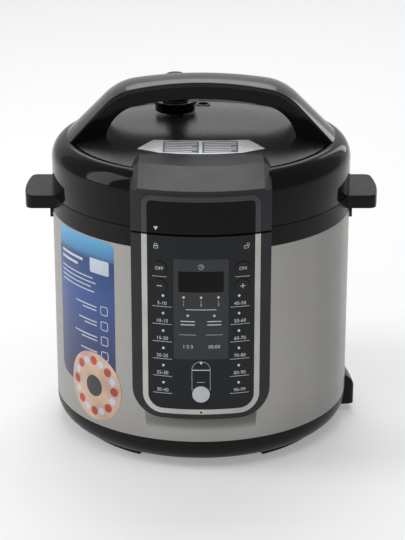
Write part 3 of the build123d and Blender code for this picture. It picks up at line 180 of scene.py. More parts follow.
def noise_of(material, size, stretch=(1.0, 1.0, 1.0), detail=3.0):
    """A noise whose grains are this many metres across, stretched along an axis."""
    tree = material.node_tree
    mapping = tree.nodes.new("ShaderNodeMapping")
    mapping.inputs["Scale"].default_value = stretch
    noise = tree.nodes.new("ShaderNodeTexNoise")
    noise.inputs["Scale"].default_value = 1.0 / size
    noise.inputs["Detail"].default_value = detail
    tree.links.new(tree.nodes["Place"].outputs["Object"], mapping.inputs["Vector"])
    tree.links.new(mapping.outputs["Vector"], noise.inputs["Vector"])
    return noise.outputs["Fac"]


def spread(material, fac, low, high, start=0.3, stop=0.7):
    """A pattern brought to a range of values."""
    tree = material.node_tree
    node = tree.nodes.new("ShaderNodeMapRange")
    node.inputs["From Min"].default_value = start
    node.inputs["From Max"].default_value = stop
    node.inputs["To Min"].default_value = low
    node.inputs["To Max"].default_value = high
    tree.links.new(fac, node.inputs["Value"])
    return node.outputs["Result"]


def set_roughness(material, fac, low, high):
    """Roughness that follows a pattern."""
    shader = material.node_tree.nodes["Principled BSDF"]
    material.node_tree.links.new(spread(material, fac, low, high), shader.inputs["Roughness"])


def set_colour(material, fac, dark, light, start=0.3, stop=0.7):
    """Colour that follows a pattern."""
    tree = material.node_tree
    mix = tree.nodes.new("ShaderNodeMix")
    mix.data_type = "RGBA"
    mix.inputs["A"].default_value = (*dark, 1.0)
    mix.inputs["B"].default_value = (*light, 1.0)
    tree.links.new(spread(material, fac, 0.0, 1.0, start, stop), mix.inputs["Factor"])
    tree.links.new(mix.outputs["Result"], tree.nodes["Principled BSDF"].inputs["Base Color"])


def set_relief(material, fac, height):
    """Fine relief that follows a pattern, this many metres high."""
    tree = material.node_tree
    bump = tree.nodes.new("ShaderNodeBump")
    bump.inputs["Strength"].default_value = 1.0
    bump.inputs["Distance"].default_value = height
    tree.links.new(fac, bump.inputs["Height"])
    tree.links.new(bump.outputs["Normal"], tree.nodes["Principled BSDF"].inputs["Normal"])


def ramp_along(material, axis, low, high, stops):
    """Colours that run along an axis, from (place, colour) stops; place goes from 0 to 1."""
    tree = material.node_tree
    split = tree.nodes.new("ShaderNodeSeparateXYZ")
    tree.links.new(tree.nodes["Place"].outputs["Object"], split.inputs["Vector"])
    ramp = tree.nodes.new("ShaderNodeValToRGB")
    for place, colour in stops[1:-1]:
        ramp.color_ramp.elements.new(place).color = (*colour, 1.0)
    for end in (0, -1):
        ramp.color_ramp.elements[end].color = (*stops[end][1], 1.0)
    tree.links.new(spread(material, split.outputs[axis], 0.0, 1.0, low, high), ramp.inputs["Fac"])
    return ramp


def shade(colour, factor):
    """A colour made darker or lighter."""
    return tuple(min(1.0, c * factor) for c in colour)


def plastic(name, colour, rough, grain=0.0006, relief=0.00002, mottle=0.92, sheen=0.32):
    """Moulded plastic: fine texture, faint mottling and roughness that wanders."""
    material = new_finish(name, colour, sum(rough) / 2)
    material.node_tree.nodes["Principled BSDF"].inputs["Specular IOR Level"].default_value = sheen
    set_colour(material, noise_of(material, 0.02), shade(colour, mottle), shade(colour, 2 - mottle))
    set_roughness(material, noise_of(material, 0.012, detail=4.0), *rough)
    set_relief(material, noise_of(material, grain, detail=2.0), relief)
    return material


def lit_paper(name, colour, glow):
    """A pale matt sheet lit faintly from below, as on a light table."""
    material = plastic(name, colour, (0.75, 0.85), 0.003, 0.00001, 0.995, 0.0)
    shader = material.node_tree.nodes["Principled BSDF"]
    shader.inputs["Emission Color"].default_value = (1.0, 1.0, 1.0, 1.0)
    shader.inputs["Emission Strength"].default_value = glow
    return material


def brushed(name, colour, rough, stretch, grain=0.0012, relief=0.000012, streak=0.9):
    """Metal with a one-way grain; a small stretch lies along the grain."""
    material = new_finish(name, colour, sum(rough) / 2, metallic=1.0)
    shader = material.node_tree.nodes["Principled BSDF"]
    shader.inputs["Anisotropic"].default_value = 0.6
    lay = material.node_tree.nodes.new("ShaderNodeTangent")
    lay.direction_type = "RADIAL"
    lay.axis = "Z"
    material.node_tree.links.new(lay.outputs["Tangent"], shader.inputs["Tangent"])
    grain_fac = noise_of(material, grain, stretch, detail=3.0)
    set_colour(material, grain_fac, shade(colour, streak), shade(colour, 2 - streak))
    set_roughness(material, noise_of(material, grain * 2, stretch, detail=2.0), *rough)
    set_relief(material, grain_fac, relief)
    return material


def paint_reflection_bands(material, reach, stops):
    """Painted reflection: soft light and dark upright bands across the width, multiplied into the colour."""
    ramp = ramp_along(material, "X", -reach, reach, [(place, (value,) * 3) for place, value in stops])
    ramp.color_ramp.interpolation = "EASE"
    tree = material.node_tree
    mix = tree.nodes.new("ShaderNodeMix")
    mix.data_type = "RGBA"
    mix.blend_type = "MULTIPLY"
    mix.inputs["Factor"].default_value = 1.0
    base = tree.nodes["Principled BSDF"].inputs["Base Color"]
    tree.links.new(base.links[0].from_socket, mix.inputs["A"])
    tree.links.new(ramp.outputs["Color"], mix.inputs["B"])
    tree.links.new(mix.outputs["Result"], base)


def plain_metal(name, colour, rough, relief=0.00001):
    """Cast, drawn or plated metal with a cloudy surface."""
    material = new_finish(name, colour, sum(rough) / 2, metallic=1.0)
    grain = 0.002
    set_colour(material, noise_of(material, 0.015, detail=4.0), shade(colour, 0.93), shade(colour, 1.05))
    set_roughness(material, noise_of(material, grain, detail=4.0), *rough)
    set_relief(material, noise_of(material, grain / 3), relief)
    return material


def speckled(name, colour, fleck, rough, size=0.0012):
    """A coating with small flecks of another colour."""
    material = new_finish(name, colour, sum(rough) / 2)
    set_colour(material, noise_of(material, size, detail=1.0), colour, fleck, 0.62, 0.70)
    set_roughness(material, noise_of(material, 0.004, detail=3.0), *rough)
    set_relief(material, noise_of(material, size / 2), 0.00001)
    return material


def label_film(name):
    """Blue film that darkens downwards below a light band, with a faint grain."""
    material = plastic(name, (0.03, 0.06, 0.20), (0.27, 0.31), 0.002, 0.0000005)
    ramp = ramp_along(material, "Z", LABEL_LOW, LABEL_HIGH, LABEL_BANDS)
    tree = material.node_tree
    tree.links.new(ramp.outputs["Color"], tree.nodes["Principled BSDF"].inputs["Base Color"])
    return material


ROUND_BODY = (0.012, 0.012, 1.0)
# Painted reflection on the steel body: (place, brightness) stops across its width, darkest towards the right.
STEEL_PAINTED_REFLECTION = (
    (0.0, 0.85), (0.03, 0.98), (0.15, 1.0), (0.35, 0.98), (0.70, 0.86),
    (0.84, 0.76), (0.92, 0.66), (0.955, 0.68), (0.98, 0.86), (1.0, 1.0),
)
LABEL_BANDS = (
    (0.00, (0.034, 0.038, 0.075)), (0.30, (0.050, 0.068, 0.175)), (0.62, (0.040, 0.090, 0.280)),
    (0.86, (0.028, 0.060, 0.180)), (0.90, (0.070, 0.240, 0.460)), (1.00, (0.12, 0.40, 0.66)),
)
PAPER_GLOW = 0.28
# lid_trim gets a dark grey copy of the silver trim: painted shade and reflection on the lid's strip.
OWN_FINISH = {"lid_dome": "dome_gloss", "lid_trim": "strip_shaded_grey"}


def make_finishes(colours):
    """Every finish of the cooker, by material slot."""
    gloss, moulded, matte = tuple(colours.gloss), tuple(colours.moulded), tuple(colours.matte)

    # metals
    steel = brushed(
        "brushed_body", tuple(colours.steel), (0.32, 0.40), ROUND_BODY,
        grain=0.0005, relief=0.000006, streak=0.96,
    )
    # painted reflection: light and dark upright bands in the steel's colour
    paint_reflection_bands(steel, BODY_RADIUS, STEEL_PAINTED_REFLECTION)
    brushed("polished_steel", (0.62, 0.61, 0.60), (0.18, 0.26), ROUND_BODY, relief=0.000004, streak=0.97)
    plain_metal("zinc_steel", (0.56, 0.57, 0.58), (0.30, 0.45))
    plain_metal("cast_aluminium", (0.60, 0.60, 0.61), (0.38, 0.55), relief=0.00003)
    plain_metal("contact_brass", (0.72, 0.58, 0.32), (0.22, 0.35))

    # casing and panel
    plastic("gloss_black", gloss, (0.07, 0.11), 0.004, 0.000003, sheen=0.14)
    plastic("gloss_cover", gloss, (0.13, 0.18), 0.003, 0.000002, sheen=0.34)
    plastic("dome_gloss", gloss, (0.27, 0.29), 0.0008, 0.000001, 0.97, sheen=0.34)
    plastic("casing_black", moulded, (0.28, 0.36), sheen=0.11)
    plastic("casing_grey", shade(matte, 2.8), (0.28, 0.34), 0.0005, 0.00001, sheen=0.2)
    # painted shade: the silver trim darkened for the lid's strip
    plastic("strip_shaded_grey", (0.055, 0.057, 0.060), (0.24, 0.30), 0.0004, 0.000006)
    plastic("trim_silver", tuple(colours.trim), (0.28, 0.34), 0.0004, 0.000006)
    plastic("panel_grey", (0.0045, 0.0078, 0.0095), (0.22, 0.28), 0.0004, 0.000006, sheen=0.27)
    plastic("window_black", (0.003, 0.003, 0.0035), (0.10, 0.16), 0.003, 0.000002, sheen=0.14)
    plastic("key_black", (0.006, 0.006, 0.008), (0.16, 0.22), 0.0006, 0.000004, sheen=0.3)
    plastic("key_white", (0.62, 0.65, 0.67), (0.30, 0.36), 0.0006, 0.000006)
    plastic("lamp_clear", (0.75, 0.77, 0.80), (0.20, 0.28), 0.0005, 0.000004)

    # inside, back and feet
    plastic("component_black", (0.020, 0.020, 0.021), (0.42, 0.55))
    plastic("component_blue", (0.03, 0.08, 0.32), (0.25, 0.35), relief=0.000005)
    plastic("connector_white", (0.70, 0.69, 0.64), (0.40, 0.50))
    plastic("transformer_core", (0.30, 0.22, 0.08), (0.40, 0.60), 0.001)
    plastic("silicone", (0.72, 0.72, 0.70), (0.40, 0.50), 0.0008, 0.000008)
    plastic("foot_rubber", (0.015, 0.015, 0.015), (0.65, 0.80), 0.0004, 0.00004)
    plastic("cup_plastic", (0.10, 0.105, 0.115), (0.18, 0.26), 0.0006, 0.000006)
    speckled("pot_coating", (0.030, 0.030, 0.032), (0.16, 0.16, 0.17), (0.32, 0.44))
    speckled("vessel_metal", (0.06, 0.06, 0.062), (0.10, 0.10, 0.105), (0.40, 0.52))
    speckled("circuit_board", (0.012, 0.10, 0.045), (0.05, 0.24, 0.12), (0.30, 0.40), 0.003)

    # print, labels and the studio's floor
    plastic("panel_field", (0.030, 0.034, 0.037), (0.26, 0.32), 0.0004, 0.000006)
    plastic("print_white", tuple(colours.print_white), (0.40, 0.46), 0.0004, 0.000004)
    plain_metal("foil", (0.66, 0.67, 0.68), (0.34, 0.44), relief=0.000006)
    plastic("foil_ink", (0.13, 0.135, 0.15), (0.34, 0.42), 0.0004, 0.000004)
    label_film("label_blue")
    plastic("label_white", (0.55, 0.60, 0.70), (0.34, 0.42), 0.0004, 0.000004)
    plastic("disc_peach", (0.60, 0.42, 0.32), (0.30, 0.38), 0.0006, 0.000004, 0.8)
    plastic("disc_red", (0.42, 0.07, 0.05), (0.30, 0.38), 0.0006, 0.000004, 0.6)
    plastic("disc_dark", (0.05, 0.05, 0.055), (0.25, 0.32), 0.0006, 0.000004)
    lit_paper("floor_paper", tuple(colours.floor), PAPER_GLOW)


def cover_solids():
    """Puts each solid's finish on it."""
    for part in frame["record"]["subparts"]:
        solid = frame["nodes"][part["node"]]
        solid.data.materials.clear()
        solid.data.materials.append(FINISHES[OWN_FINISH.get(part["node"], part["material_slot"])])


# ------------------------------------------------------------- mesh making
SAME_PLACE = 0.5e-6
CREASE = math.radians(35.0)


def place_piece(bm, name, body, finish, stands_for=()):
    """Ends a mesh and makes it a piece that rides on a body; without a body's name it stays where it is, on
    no body.
    """
    bmesh.ops.remove_doubles(bm, verts=bm.verts, dist=SAME_PLACE)
    bmesh.ops.recalc_face_normals(bm, faces=bm.faces)
    mesh = bpy.data.meshes.new(name)
    bm.to_mesh(mesh)
    bm.free()
    mesh.shade_smooth()
    mesh.set_sharp_from_angle(angle=CREASE)
    piece = bpy.data.objects.new(name, mesh)
    bpy.context.scene.collection.objects.link(piece)
    mesh.materials.append(FINISHES[finish])
    if isinstance(body, str):
        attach(piece, body)
    else:
        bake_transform(piece)
    if stands_for:
        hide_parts(*stands_for)
    return piece


def cut_along(bm, point, normal, **more):
    """Cuts all faces along a plane."""
    bmesh.ops.bisect_plane(
        bm, geom=list(bm.verts) + list(bm.edges) + list(bm.faces), plane_co=point, plane_no=normal, **more
    )


def open_up(bm, half, levels, inside):
    """Cuts along both sides and at some levels, and takes out the faces that pass a test."""
    for side in (half, -half):
        cut_along(bm, (side, 0, 0), (1, 0, 0))
    for level in levels:
        cut_along(bm, (0, 0, level), (0, 0, 1))
    middles = [(f, f.calc_center_median()) for f in bm.faces]
    gone = [f for f, middle in middles if abs(middle.x) < half and inside(middle)]
    bmesh.ops.delete(bm, geom=gone, context="FACES")


def thicken(bm, offset):
    """Pulls flat faces out by an offset and closes their sides."""
    made = bmesh.ops.extrude_face_region(bm, geom=list(bm.faces))
    raised = [g for g in made["geom"] if isinstance(g, bmesh.types.BMVert)]
    bmesh.ops.translate(bm, verts=raised, vec=offset)


def copy_into(bm, part):
    """Adds one mesh to another."""
    mesh = bpy.data.meshes.new("part")
    part.to_mesh(mesh)
    part.free()
    bm.from_mesh(mesh)
    bpy.data.meshes.remove(mesh)


def corners(left, low, right, high, rounding=0.0):
    """The outline of an upright box, for rounded_outline."""
    return [(left, low, rounding), (right, low, rounding), (right, high, rounding), (left, high, rounding)]


def rounded_outline(bm, points, segments=5):
    """An upright flat face from (across, height, rounding) points in mm, its corners rounded."""
    verts = [bm.verts.new((a * MM, 0.0, b * MM)) for a, b, _ in points]
    bm.faces.new(verts)
    for rounding in sorted({p[2] for p in points if p[2]}):
        sharp = [v for v, p in zip(verts, points) if p[2] == rounding]
        bmesh.ops.bevel(
            bm, geom=sharp, offset=rounding * MM, offset_type="OFFSET", affect="VERTICES",
            segments=segments, profile=0.5, material=-1, clamp_overlap=True,
        )
    return bm


def spin_outline(bm, steps, centre=(0.0, 0.0)):
    """Turns the outline's edges right round an upright axis."""
    bmesh.ops.delete(bm, geom=list(bm.faces), context="FACES_ONLY")
    bmesh.ops.translate(bm, verts=bm.verts, vec=(centre[0], centre[1], 0.0))
    bmesh.ops.spin(
        bm, geom=list(bm.verts) + list(bm.edges), cent=(centre[0], centre[1], 0.0), axis=(0, 0, 1),
        angle=FULL_TURN, steps=steps, use_merge=True, use_duplicate=False,
    )


def turned_piece(points, steps, centre=(0.0, 0.0)):
    """A closed ring or knob from (radius, height, rounding) points in mm."""
    bm = bmesh.new()
    rounded_outline(bm, points)
    spin_outline(bm, steps, centre)
    return bm


def ellipse_points(centre, reach, start, stop, steps):
    """Points of an elliptical arc in a profile, in mm, with no rounding."""
    points = []
    for i in range(steps + 1):
        turn = math.radians(start + (stop - start) * i / steps)
        points.append((centre[0] + reach[0] * math.cos(turn), centre[1] + reach[1] * math.sin(turn), 0))
    return points


def wrap_round(bm, radius, arc_radius):
    """Bends what is drawn flat at y = 0 round the cooker, its y kept as depth into the panel."""
    for v in bm.verts:
        turn = v.co.x / arc_radius
        reach = radius - v.co.y
        v.co = Vector((reach * math.sin(turn), -reach * math.cos(turn), v.co.z))


# ----------------------------------------------------------------- casing
class COOKER_OT_finishes(bpy.types.Operator):
    """Make every finish and put it on the solids"""

    bl_idname = "cooker.finishes"
    bl_label = "Finishes"

    def execute(self, context):
        make_finishes(context.scene.cooker_colours)
        cover_solids()
        return {"FINISHED"}


OPENING_SHARE = 0.82
SILL_RISE = 11.5 * MM


class COOKER_OT_steel_body(bpy.types.Operator):
    """Build the brushed steel body with its rolled lower edge"""

    bl_idname = "cooker.steel_body"
    bl_label = "Steel body"

    def execute(self, context):
        sizes = context.scene.cooker_sizes
        radius, low, high = BODY_RADIUS, SLEEVE_LOW.z, SLEEVE_HIGH.z
        hem = sizes.hem
        bm = bmesh.new()
        # up the rolled lower edge, the wall and the eased upper edge
        profile = [
            (radius - hem * 1.2, low + 0.25 * hem),
            (radius - hem * 0.5, low + 0.30 * hem),
            (radius - hem * 0.12, low + 0.70 * hem),
            (radius, low + 1.6 * hem),
            (radius, high - 0.3 * hem),
            (radius - 0.25 * hem, high),
        ]
        verts = [bm.verts.new((r, 0.0, z)) for r, z in profile]
        for pair in zip(verts, verts[1:]):
            bm.edges.new(pair)
        bmesh.ops.spin(
            bm, geom=list(bm.verts) + list(bm.edges), cent=(0, 0, 0), axis=(0, 0, 1),
            angle=FULL_TURN, steps=sizes.turn_steps, use_merge=True, use_duplicate=False,
        )
        # open behind the panel's housing
        sill = HOUSING_LOW.z + SILL_RISE
        open_up(bm, HOUSING_HIGH.x * OPENING_SHARE, (sill,), lambda middle: middle.y < 0 and middle.z > sill)
        body = place_piece(bm, "steel_body", "base", "brushed_body", stands_for=("steel_sleeve",))
        wall = body.modifiers.new("wall", "SOLIDIFY")
        wall.thickness = sizes.sleeve_wall
        wall.offset = -1.0
        return {"FINISHED"}


class COOKER_OT_lid_shell(bpy.types.Operator):
    """Build the glossy lid ring with its crisp crest"""

    bl_idname = "cooker.lid_shell"
    bl_label = "Lid shell"

    def execute(self, context):
        low, crest, radius = LID_LOW.z / MM, LID_HIGH.z / MM, BODY_RADIUS / MM
        wall, skirt, shoulder = 2.5, 31.0, 16.5
        ledge_drop, crest_width, ledge_reach = 2.4, 3.5, 10.0
        skirt_top = low + skirt
        crest_radius = radius - shoulder
        middle = (crest_radius, skirt_top)
        outer = ellipse_points(middle, (radius - crest_radius, crest - skirt_top), 0, 90, 14)
        inner = ellipse_points(
            middle, (radius - crest_radius - wall, crest - skirt_top - ledge_drop - wall), 88, 0, 10
        )
        outer[-1] = (*outer[-1][:2], 0.35)
        bm = turned_piece([
            (radius - wall, low, 0.3), (radius, low, 0.5), *outer,
            (crest_radius - crest_width, crest - ledge_drop, 0.5),
            (crest_radius - ledge_reach, crest - ledge_drop, 0),
            (crest_radius - ledge_reach, crest - ledge_drop - wall, 0), *inner,
        ], context.scene.cooker_sizes.turn_steps)
        place_piece(bm, "lid_shell", "lid", "gloss_black", stands_for=("lid_ring",))
        return {"FINISHED"}


class COOKER_OT_sensor_coil(bpy.types.Operator):
    """Build the coil under the sensor, its foot on the base and its head on the sensor"""

    bl_idname = "cooker.sensor_coil"
    bl_label = "Sensor coil"

    def execute(self, context):
        low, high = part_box("sensor_spring")
        bm = bmesh.new()
        bm.from_mesh(frame["nodes"]["sensor_spring"].data)
        between = ("base", "sensor", (0, 0, low.z), (0, 0, high.z))
        place_piece(bm, "sensor_coil", between, "polished_steel", stands_for=("sensor_spring",))
        return {"FINISHED"}


KNOB_STEPS = 96


class COOKER_OT_steam_knob(bpy.types.Operator):
    """Build the steam release knob"""

    bl_idname = "cooker.steam_knob"
    bl_label = "Steam knob"

    def execute(self, context):
        centre = ((KNOB_LOW.x + KNOB_HIGH.x) / 2, (KNOB_LOW.y + KNOB_HIGH.y) / 2)
        flange = (KNOB_HIGH.x - KNOB_LOW.x) / 2 / MM
        low, high = KNOB_LOW.z / MM, KNOB_HIGH.z / MM
        body, skirt = 19.5, low + 10.5
        bore, bore_top = 6.3, low + 15.9
        bm = turned_piece([
            (bore, low, 0), (body, low, 0.6), (body, skirt - 3.4, 0.6), (flange, skirt - 2.6, 1.1),
            (flange, skirt, 1.2), (14.5, skirt + 0.2, 1.0), (9.0, high, 2.2), (0, high, 0),
            (0, bore_top, 0), (bore, bore_top, 0),
        ], KNOB_STEPS, centre)
        place_piece(bm, "steam_release", "knob", "gloss_black", stands_for=("steam_knob",))
        return {"FINISHED"}


# ------------------------------------------------------------ panel prints
ARC_RADIUS = 147.0 * MM
PANEL_Z = HOUSING_LOW.z / MM
STRIP = 2.5 * MM
TYPE_SIZE = 1.38


def print_bar(bm, x, z, width, height, rounding=0.0):
    """A flat bar of print, its middle at x and z, in mm."""
    a, b = width / 2, height / 2
    rounded_outline(bm, corners(x - a, z - b, x + a, z + b, rounding), segments=4)


def print_disc(bm, x, z, radius, sides=20):
    """A flat disc of print."""
    made = bmesh.ops.create_circle(bm, cap_ends=True, radius=radius * MM, segments=sides)
    bmesh.ops.rotate(bm, verts=made["verts"], cent=(0, 0, 0), matrix=Matrix.Rotation(math.pi / 2, 3, "X"))
    bmesh.ops.translate(bm, verts=made["verts"], vec=(x * MM, 0, z * MM))


def print_rim(bm, part, line):
    """Adds the rim of a one-faced drawing, as a printed line this many metres wide."""
    face = part.faces[:][0]
    bmesh.ops.inset_individual(part, faces=[face], thickness=line, depth=0.0)
    bmesh.ops.delete(part, geom=[face], context="FACES")
    copy_into(bm, part)


def print_loop(bm, points, line, segments=6):
    """A closed printed line along a rounded outline."""
    part = bmesh.new()
    rounded_outline(part, points, segments)
    print_rim(bm, part, line)


def print_ring(bm, x, z, radius, line):
    """A printed ring."""
    part = bmesh.new()
    print_disc(part, x, z, radius, sides=28)
    print_rim(bm, part, line)


def print_text(bm, text, x, z, height):
    """Numbers or signs, centred at x and z, in mm."""
    curve = bpy.data.curves.new("print", "FONT")
    curve.body = text
    curve.size = height * MM * TYPE_SIZE
    curve.align_x = "CENTER"
    curve.align_y = "CENTER"
    curve.resolution_u = 3
    holder = bpy.data.objects.new("print", curve)
    bpy.context.scene.collection.objects.link(holder)
    bpy.context.view_layer.update()
    mesh = bpy.data.meshes.new_from_object(holder.evaluated_get(bpy.context.evaluated_depsgraph_get()))
    bpy.data.objects.remove(holder)
    bpy.data.curves.remove(curve)
    mesh.transform(Matrix.Translation((x * MM, 0, z * MM)) @ Matrix.Rotation(math.pi / 2, 4, "X"))
    bm.from_mesh(mesh)
    bpy.data.meshes.remove(mesh)


def slice_across(bm, step):
    """Cuts a flat drawing into upright strips, so that it bends round the body."""
    reach = [v.co.x for v in bm.verts]
    for i in range(math.floor(min(reach) / step), math.ceil(max(reach) / step) + 1):
        cut_along(bm, (i * step, 0, 0), (1, 0, 0))


def end_print(bm, name, body, finish, radius, depth):
    """Gives flat print its thickness and wraps it round the panel."""
    slice_across(bm, STRIP)
    bmesh.ops.triangulate(bm, faces=[f for f in bm.faces if len(f.verts) > 4])
    bmesh.ops.recalc_face_normals(bm, faces=bm.faces)
    thicken(bm, (0, -depth, 0))
    wrap_round(bm, radius, ARC_RADIUS)
    return place_piece(bm, name, body, finish)


KEY_ARC = 36.5
ROW_ARC = 34.4
LOCK_ARC = 39.6
ROW_RISES = tuple(119.7 - 16.92 * row for row in range(6))
LEFT_NUMBERS = ("5-10", "10-15", "15-20", "20-25", "25-30", "30-40")
RIGHT_NUMBERS = ("40-50", "50-60", "60-70", "70-80", "80-90", "90-99")
LAMP_RADIUS = 1.15
STEP_ARC, STEP_RISE = 15.2, 119.1
MODE_ARC, MODE_RISE = 11.6, 101.6
CLOCK_RISE = 148.2
FIELD_GAP = 0.3 * MM


class COOKER_OT_panel_prints(bpy.types.Operator):
    """Print the panel's lines, numbers and signs"""

    bl_idname = "cooker.panel_prints"
    bl_label = "Panel prints"

    def execute(self, context):
        sizes = context.scene.cooker_sizes
        line = sizes.line_width / MM
        digits = sizes.digit_height / MM
        skin = PANEL_RADIUS + 0.01 * MM
        depth = sizes.mark_depth

        # the lighter field round the display
        bm = bmesh.new()
        print_bar(bm, 0, PANEL_Z + 107.2, 48.2, 96.0, 1.5)
        open_field(bm)
        end_print(bm, "display_field", "base", "panel_field", skin, depth / 3)

        bm = bmesh.new()
        for side, numbers in ((-1, LEFT_NUMBERS), (1, RIGHT_NUMBERS)):
            for rise, number in zip(ROW_RISES, numbers):
                print_text(bm, number, side * ROW_ARC, PANEL_Z + rise - 7.3, digits)
                print_bar(bm, side * ROW_ARC, PANEL_Z + rise - 10.5, 17.5, line)
            print_bar(bm, side * KEY_ARC, PANEL_Z + 137.9, 13.0, line)
        for x, number in zip((-STEP_ARC, 0.0, STEP_ARC), "123"):
            print_disc(bm, x, PANEL_Z + STEP_RISE, LAMP_RADIUS)
            print_bar(bm, x, PANEL_Z + 115.2, line, 1.6)
            print_text(bm, number, x, PANEL_Z + 112.0, digits * 0.8)
        print_bar(bm, 0, PANEL_Z + 107.4, 27.0, line * 1.6)
        for x in (-MODE_ARC, MODE_ARC):
            print_disc(bm, x, PANEL_Z + MODE_RISE, LAMP_RADIUS)
            for drop in (5.6, 8.8):
                print_bar(bm, x, PANEL_Z + MODE_RISE - drop, 12.5, line * 2.2, 0.3)
            print_bar(bm, x, PANEL_Z + MODE_RISE - 18.6, 15.0, line * 0.8)
        print_text(bm, "1·2·3", -MODE_ARC, PANEL_Z + 71.3, digits)
        print_text(bm, "00:00", MODE_ARC, PANEL_Z + 71.3, digits)

        # a long loop with two bars, open where the start key stands
        print_bar(bm, 0, PANEL_Z + 48.6, 15.6, line * 2.2, 0.3)
        print_bar(bm, 0, PANEL_Z + 36.6, 7.2, line)
        loop = bmesh.new()
        outline = corners(-8.2, PANEL_Z + 22.0, 8.2, PANEL_Z + 57.0, 7.9)
        print_loop(loop, outline, sizes.line_width * 0.8, segments=10)
        cut_along(loop, (0, 0, (PANEL_Z + 28.4) * MM), (0, 0, 1), clear_inner=True)
        copy_into(bm, loop)

        # clock
        print_ring(bm, 0, PANEL_Z + CLOCK_RISE, 2.4, sizes.line_width * 0.9)
        print_bar(bm, 0, PANEL_Z + CLOCK_RISE + 0.7, line * 0.8, 1.5)
        print_bar(bm, 0.6, PANEL_Z + CLOCK_RISE, 1.3, line * 0.8)

        # closed lock on the left, open lock on the right
        for side, shift in ((-1, 0.0), (1, 1.6)):
            x, z = side * LOCK_ARC, PANEL_Z + 165.6
            print_loop(bm, corners(x - 2.1, z - 1.4, x + 2.1, z + 1.4, 0.4), sizes.line_width * 0.9)
            print_ring(bm, x + shift, z + 2.1, 1.5, sizes.line_width * 0.9)
        end_print(bm, "panel_prints", "base", "print_white", skin + depth / 3, depth)

        # dark notch in the strip, under the start key
        bm = bmesh.new()
        print_disc(bm, 0, PANEL_Z + 6.6, 1.0)
        end_print(bm, "trim_notch", "base", "window_black", skin, depth)

        # arrow on the lid that points at the closed lock
        bm = bmesh.new()
        tip, top = 238.2, 241.8
        rounded_outline(bm, [(-LOCK_ARC - 2.0, top, 0), (-LOCK_ARC + 2.0, top, 0), (-LOCK_ARC, tip, 0)])
        end_print(bm, "lid_arrow", "lid", "print_white", skin, depth)
        return {"FINISHED"}


def open_field(bm):
    """Opens the field over the display."""
    hole_low, hole_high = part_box("display_window")
    half = math.asin(hole_high.x / PANEL_RADIUS) * ARC_RADIUS + 0.2 * MM
    low, high = hole_low.z - FIELD_GAP, hole_high.z + FIELD_GAP
    open_up(bm, half, (low, high), lambda middle: low < middle.z < high)


class COOKER_OT_key_signs(bpy.types.Operator):
    """Print the signs on the push keys"""

    bl_idname = "cooker.key_signs"
    bl_label = "Key signs"

    def execute(self, context):
        skin = PANEL_RADIUS + 0.7 * MM
        depth = context.scene.cooker_sizes.mark_depth
        for node, body, text in (
            ("cancel_key", "cancel_button", "OFF"), ("confirm_key", "confirm_button", "ON"),
            ("minus_key", "minus_button", "-"), ("plus_key", "plus_button", "+"),
        ):
            low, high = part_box(node)
            x = KEY_ARC if low.x > 0 else -KEY_ARC
            z = (low.z + high.z) / 2 / MM
            bm = bmesh.new()
            if text in ("ON", "OFF"):
                print_text(bm, text, x, z, 3.2)
            else:
                print_bar(bm, x, z, 4.6, 0.6)
            if text == "+":
                print_bar(bm, x, z + 1.3, 0.6, 2.0)
                print_bar(bm, x, z - 1.3, 0.6, 2.0)
            end_print(bm, node + "_sign", body, "print_white", skin, depth)
        return {"FINISHED"}


# ----------------------------------------------------------------- labels
DOME_RISE = 13.0 * MM
DOME_BALL = (DOME_HIGH.x**2 + DOME_RISE**2) / (2 * DOME_RISE)
FOIL_WALL = 0.12 * MM
FOIL_RIM = (
    (-58.5, -67.5), (-38, -80.5), (-20, -85), (0, -86.6), (20, -85), (38, -80.5), (58.5, -67.5),
    (44, -49.5), (24, -54.6), (0, -56.4), (-24, -54.6), (-44, -49.5),
)
FOIL_FIELDS = ((-35.0, -2.0), (1.0, 34.0))
FOIL_CUT = 5 * MM
FILM = 0.10 * MM


def foil_bow(x):
    """Where the foil label's upper edge runs, in millimetres, along the width."""
    return -56.4 + 0.0034 * x**2


def bowed_bar(left, right, low, high):
    """Corners of a bar that follows the foil's upper edge, its heights from that edge."""
    start, end = foil_bow(left), foil_bow(right)
    return [(left, start + low), (right, end + low), (right, end + high), (left, start + high)]


def flat_plate(points):
    """A level plate from (x, y) points in mm, cut both ways so that it can bend."""
    bm = bmesh.new()
    bm.faces.new([bm.verts.new((x * MM, y * MM, 0)) for x, y in points])
    for i in range(-18, 19):
        cut_along(bm, (i * FOIL_CUT, 0, 0), (1, 0, 0))
        cut_along(bm, (0, i * FOIL_CUT, 0), (0, 1, 0))
    return bm


def end_plate(bm, name, finish, lift):
    """Gives a level plate its thickness and lays it on the dome."""
    bmesh.ops.triangulate(bm, faces=list(bm.faces))
    thicken(bm, (0, 0, FOIL_WALL))
    for v in bm.verts:
        drop = DOME_BALL - math.sqrt(DOME_BALL**2 - v.co.x**2 - v.co.y**2)
        v.co.z += DOME_HIGH.z - drop + lift
    place_piece(bm, name, "lid", finish)


class COOKER_OT_foil_label(bpy.types.Operator):
    """Lay the foil label on the front of the dome"""

    bl_idname = "cooker.foil_label"
    bl_label = "Foil label"

    def execute(self, context):
        end_plate(flat_plate(FOIL_RIM), "foil_label", "foil", 0.05 * MM)
        fields, rows = bmesh.new(), bmesh.new()
        for left, right in FOIL_FIELDS:
            copy_into(fields, flat_plate(bowed_bar(left, right, -27.5, -2.2)))
            for row in range(6):
                high = -5.2 - 3.8 * row
                end = right - (2.0 if (row + int(left)) % 3 else 6.5)
                copy_into(rows, flat_plate(bowed_bar(left + 2.0, end, high - 1.5, high)))
        end_plate(fields, "foil_fields", "foil_ink", 0.14 * MM)
        end_plate(rows, "foil_print", "foil", 0.24 * MM)
        return {"FINISHED"}


def end_sticker(bm, name, finish, lift):
    """Wraps a flat film round the steel body."""
    for v in bm.verts:
        v.co.x *= ARC_RADIUS / BODY_RADIUS
    end_print(bm, name, "base", finish, BODY_RADIUS + 0.02 * MM + lift, FILM)


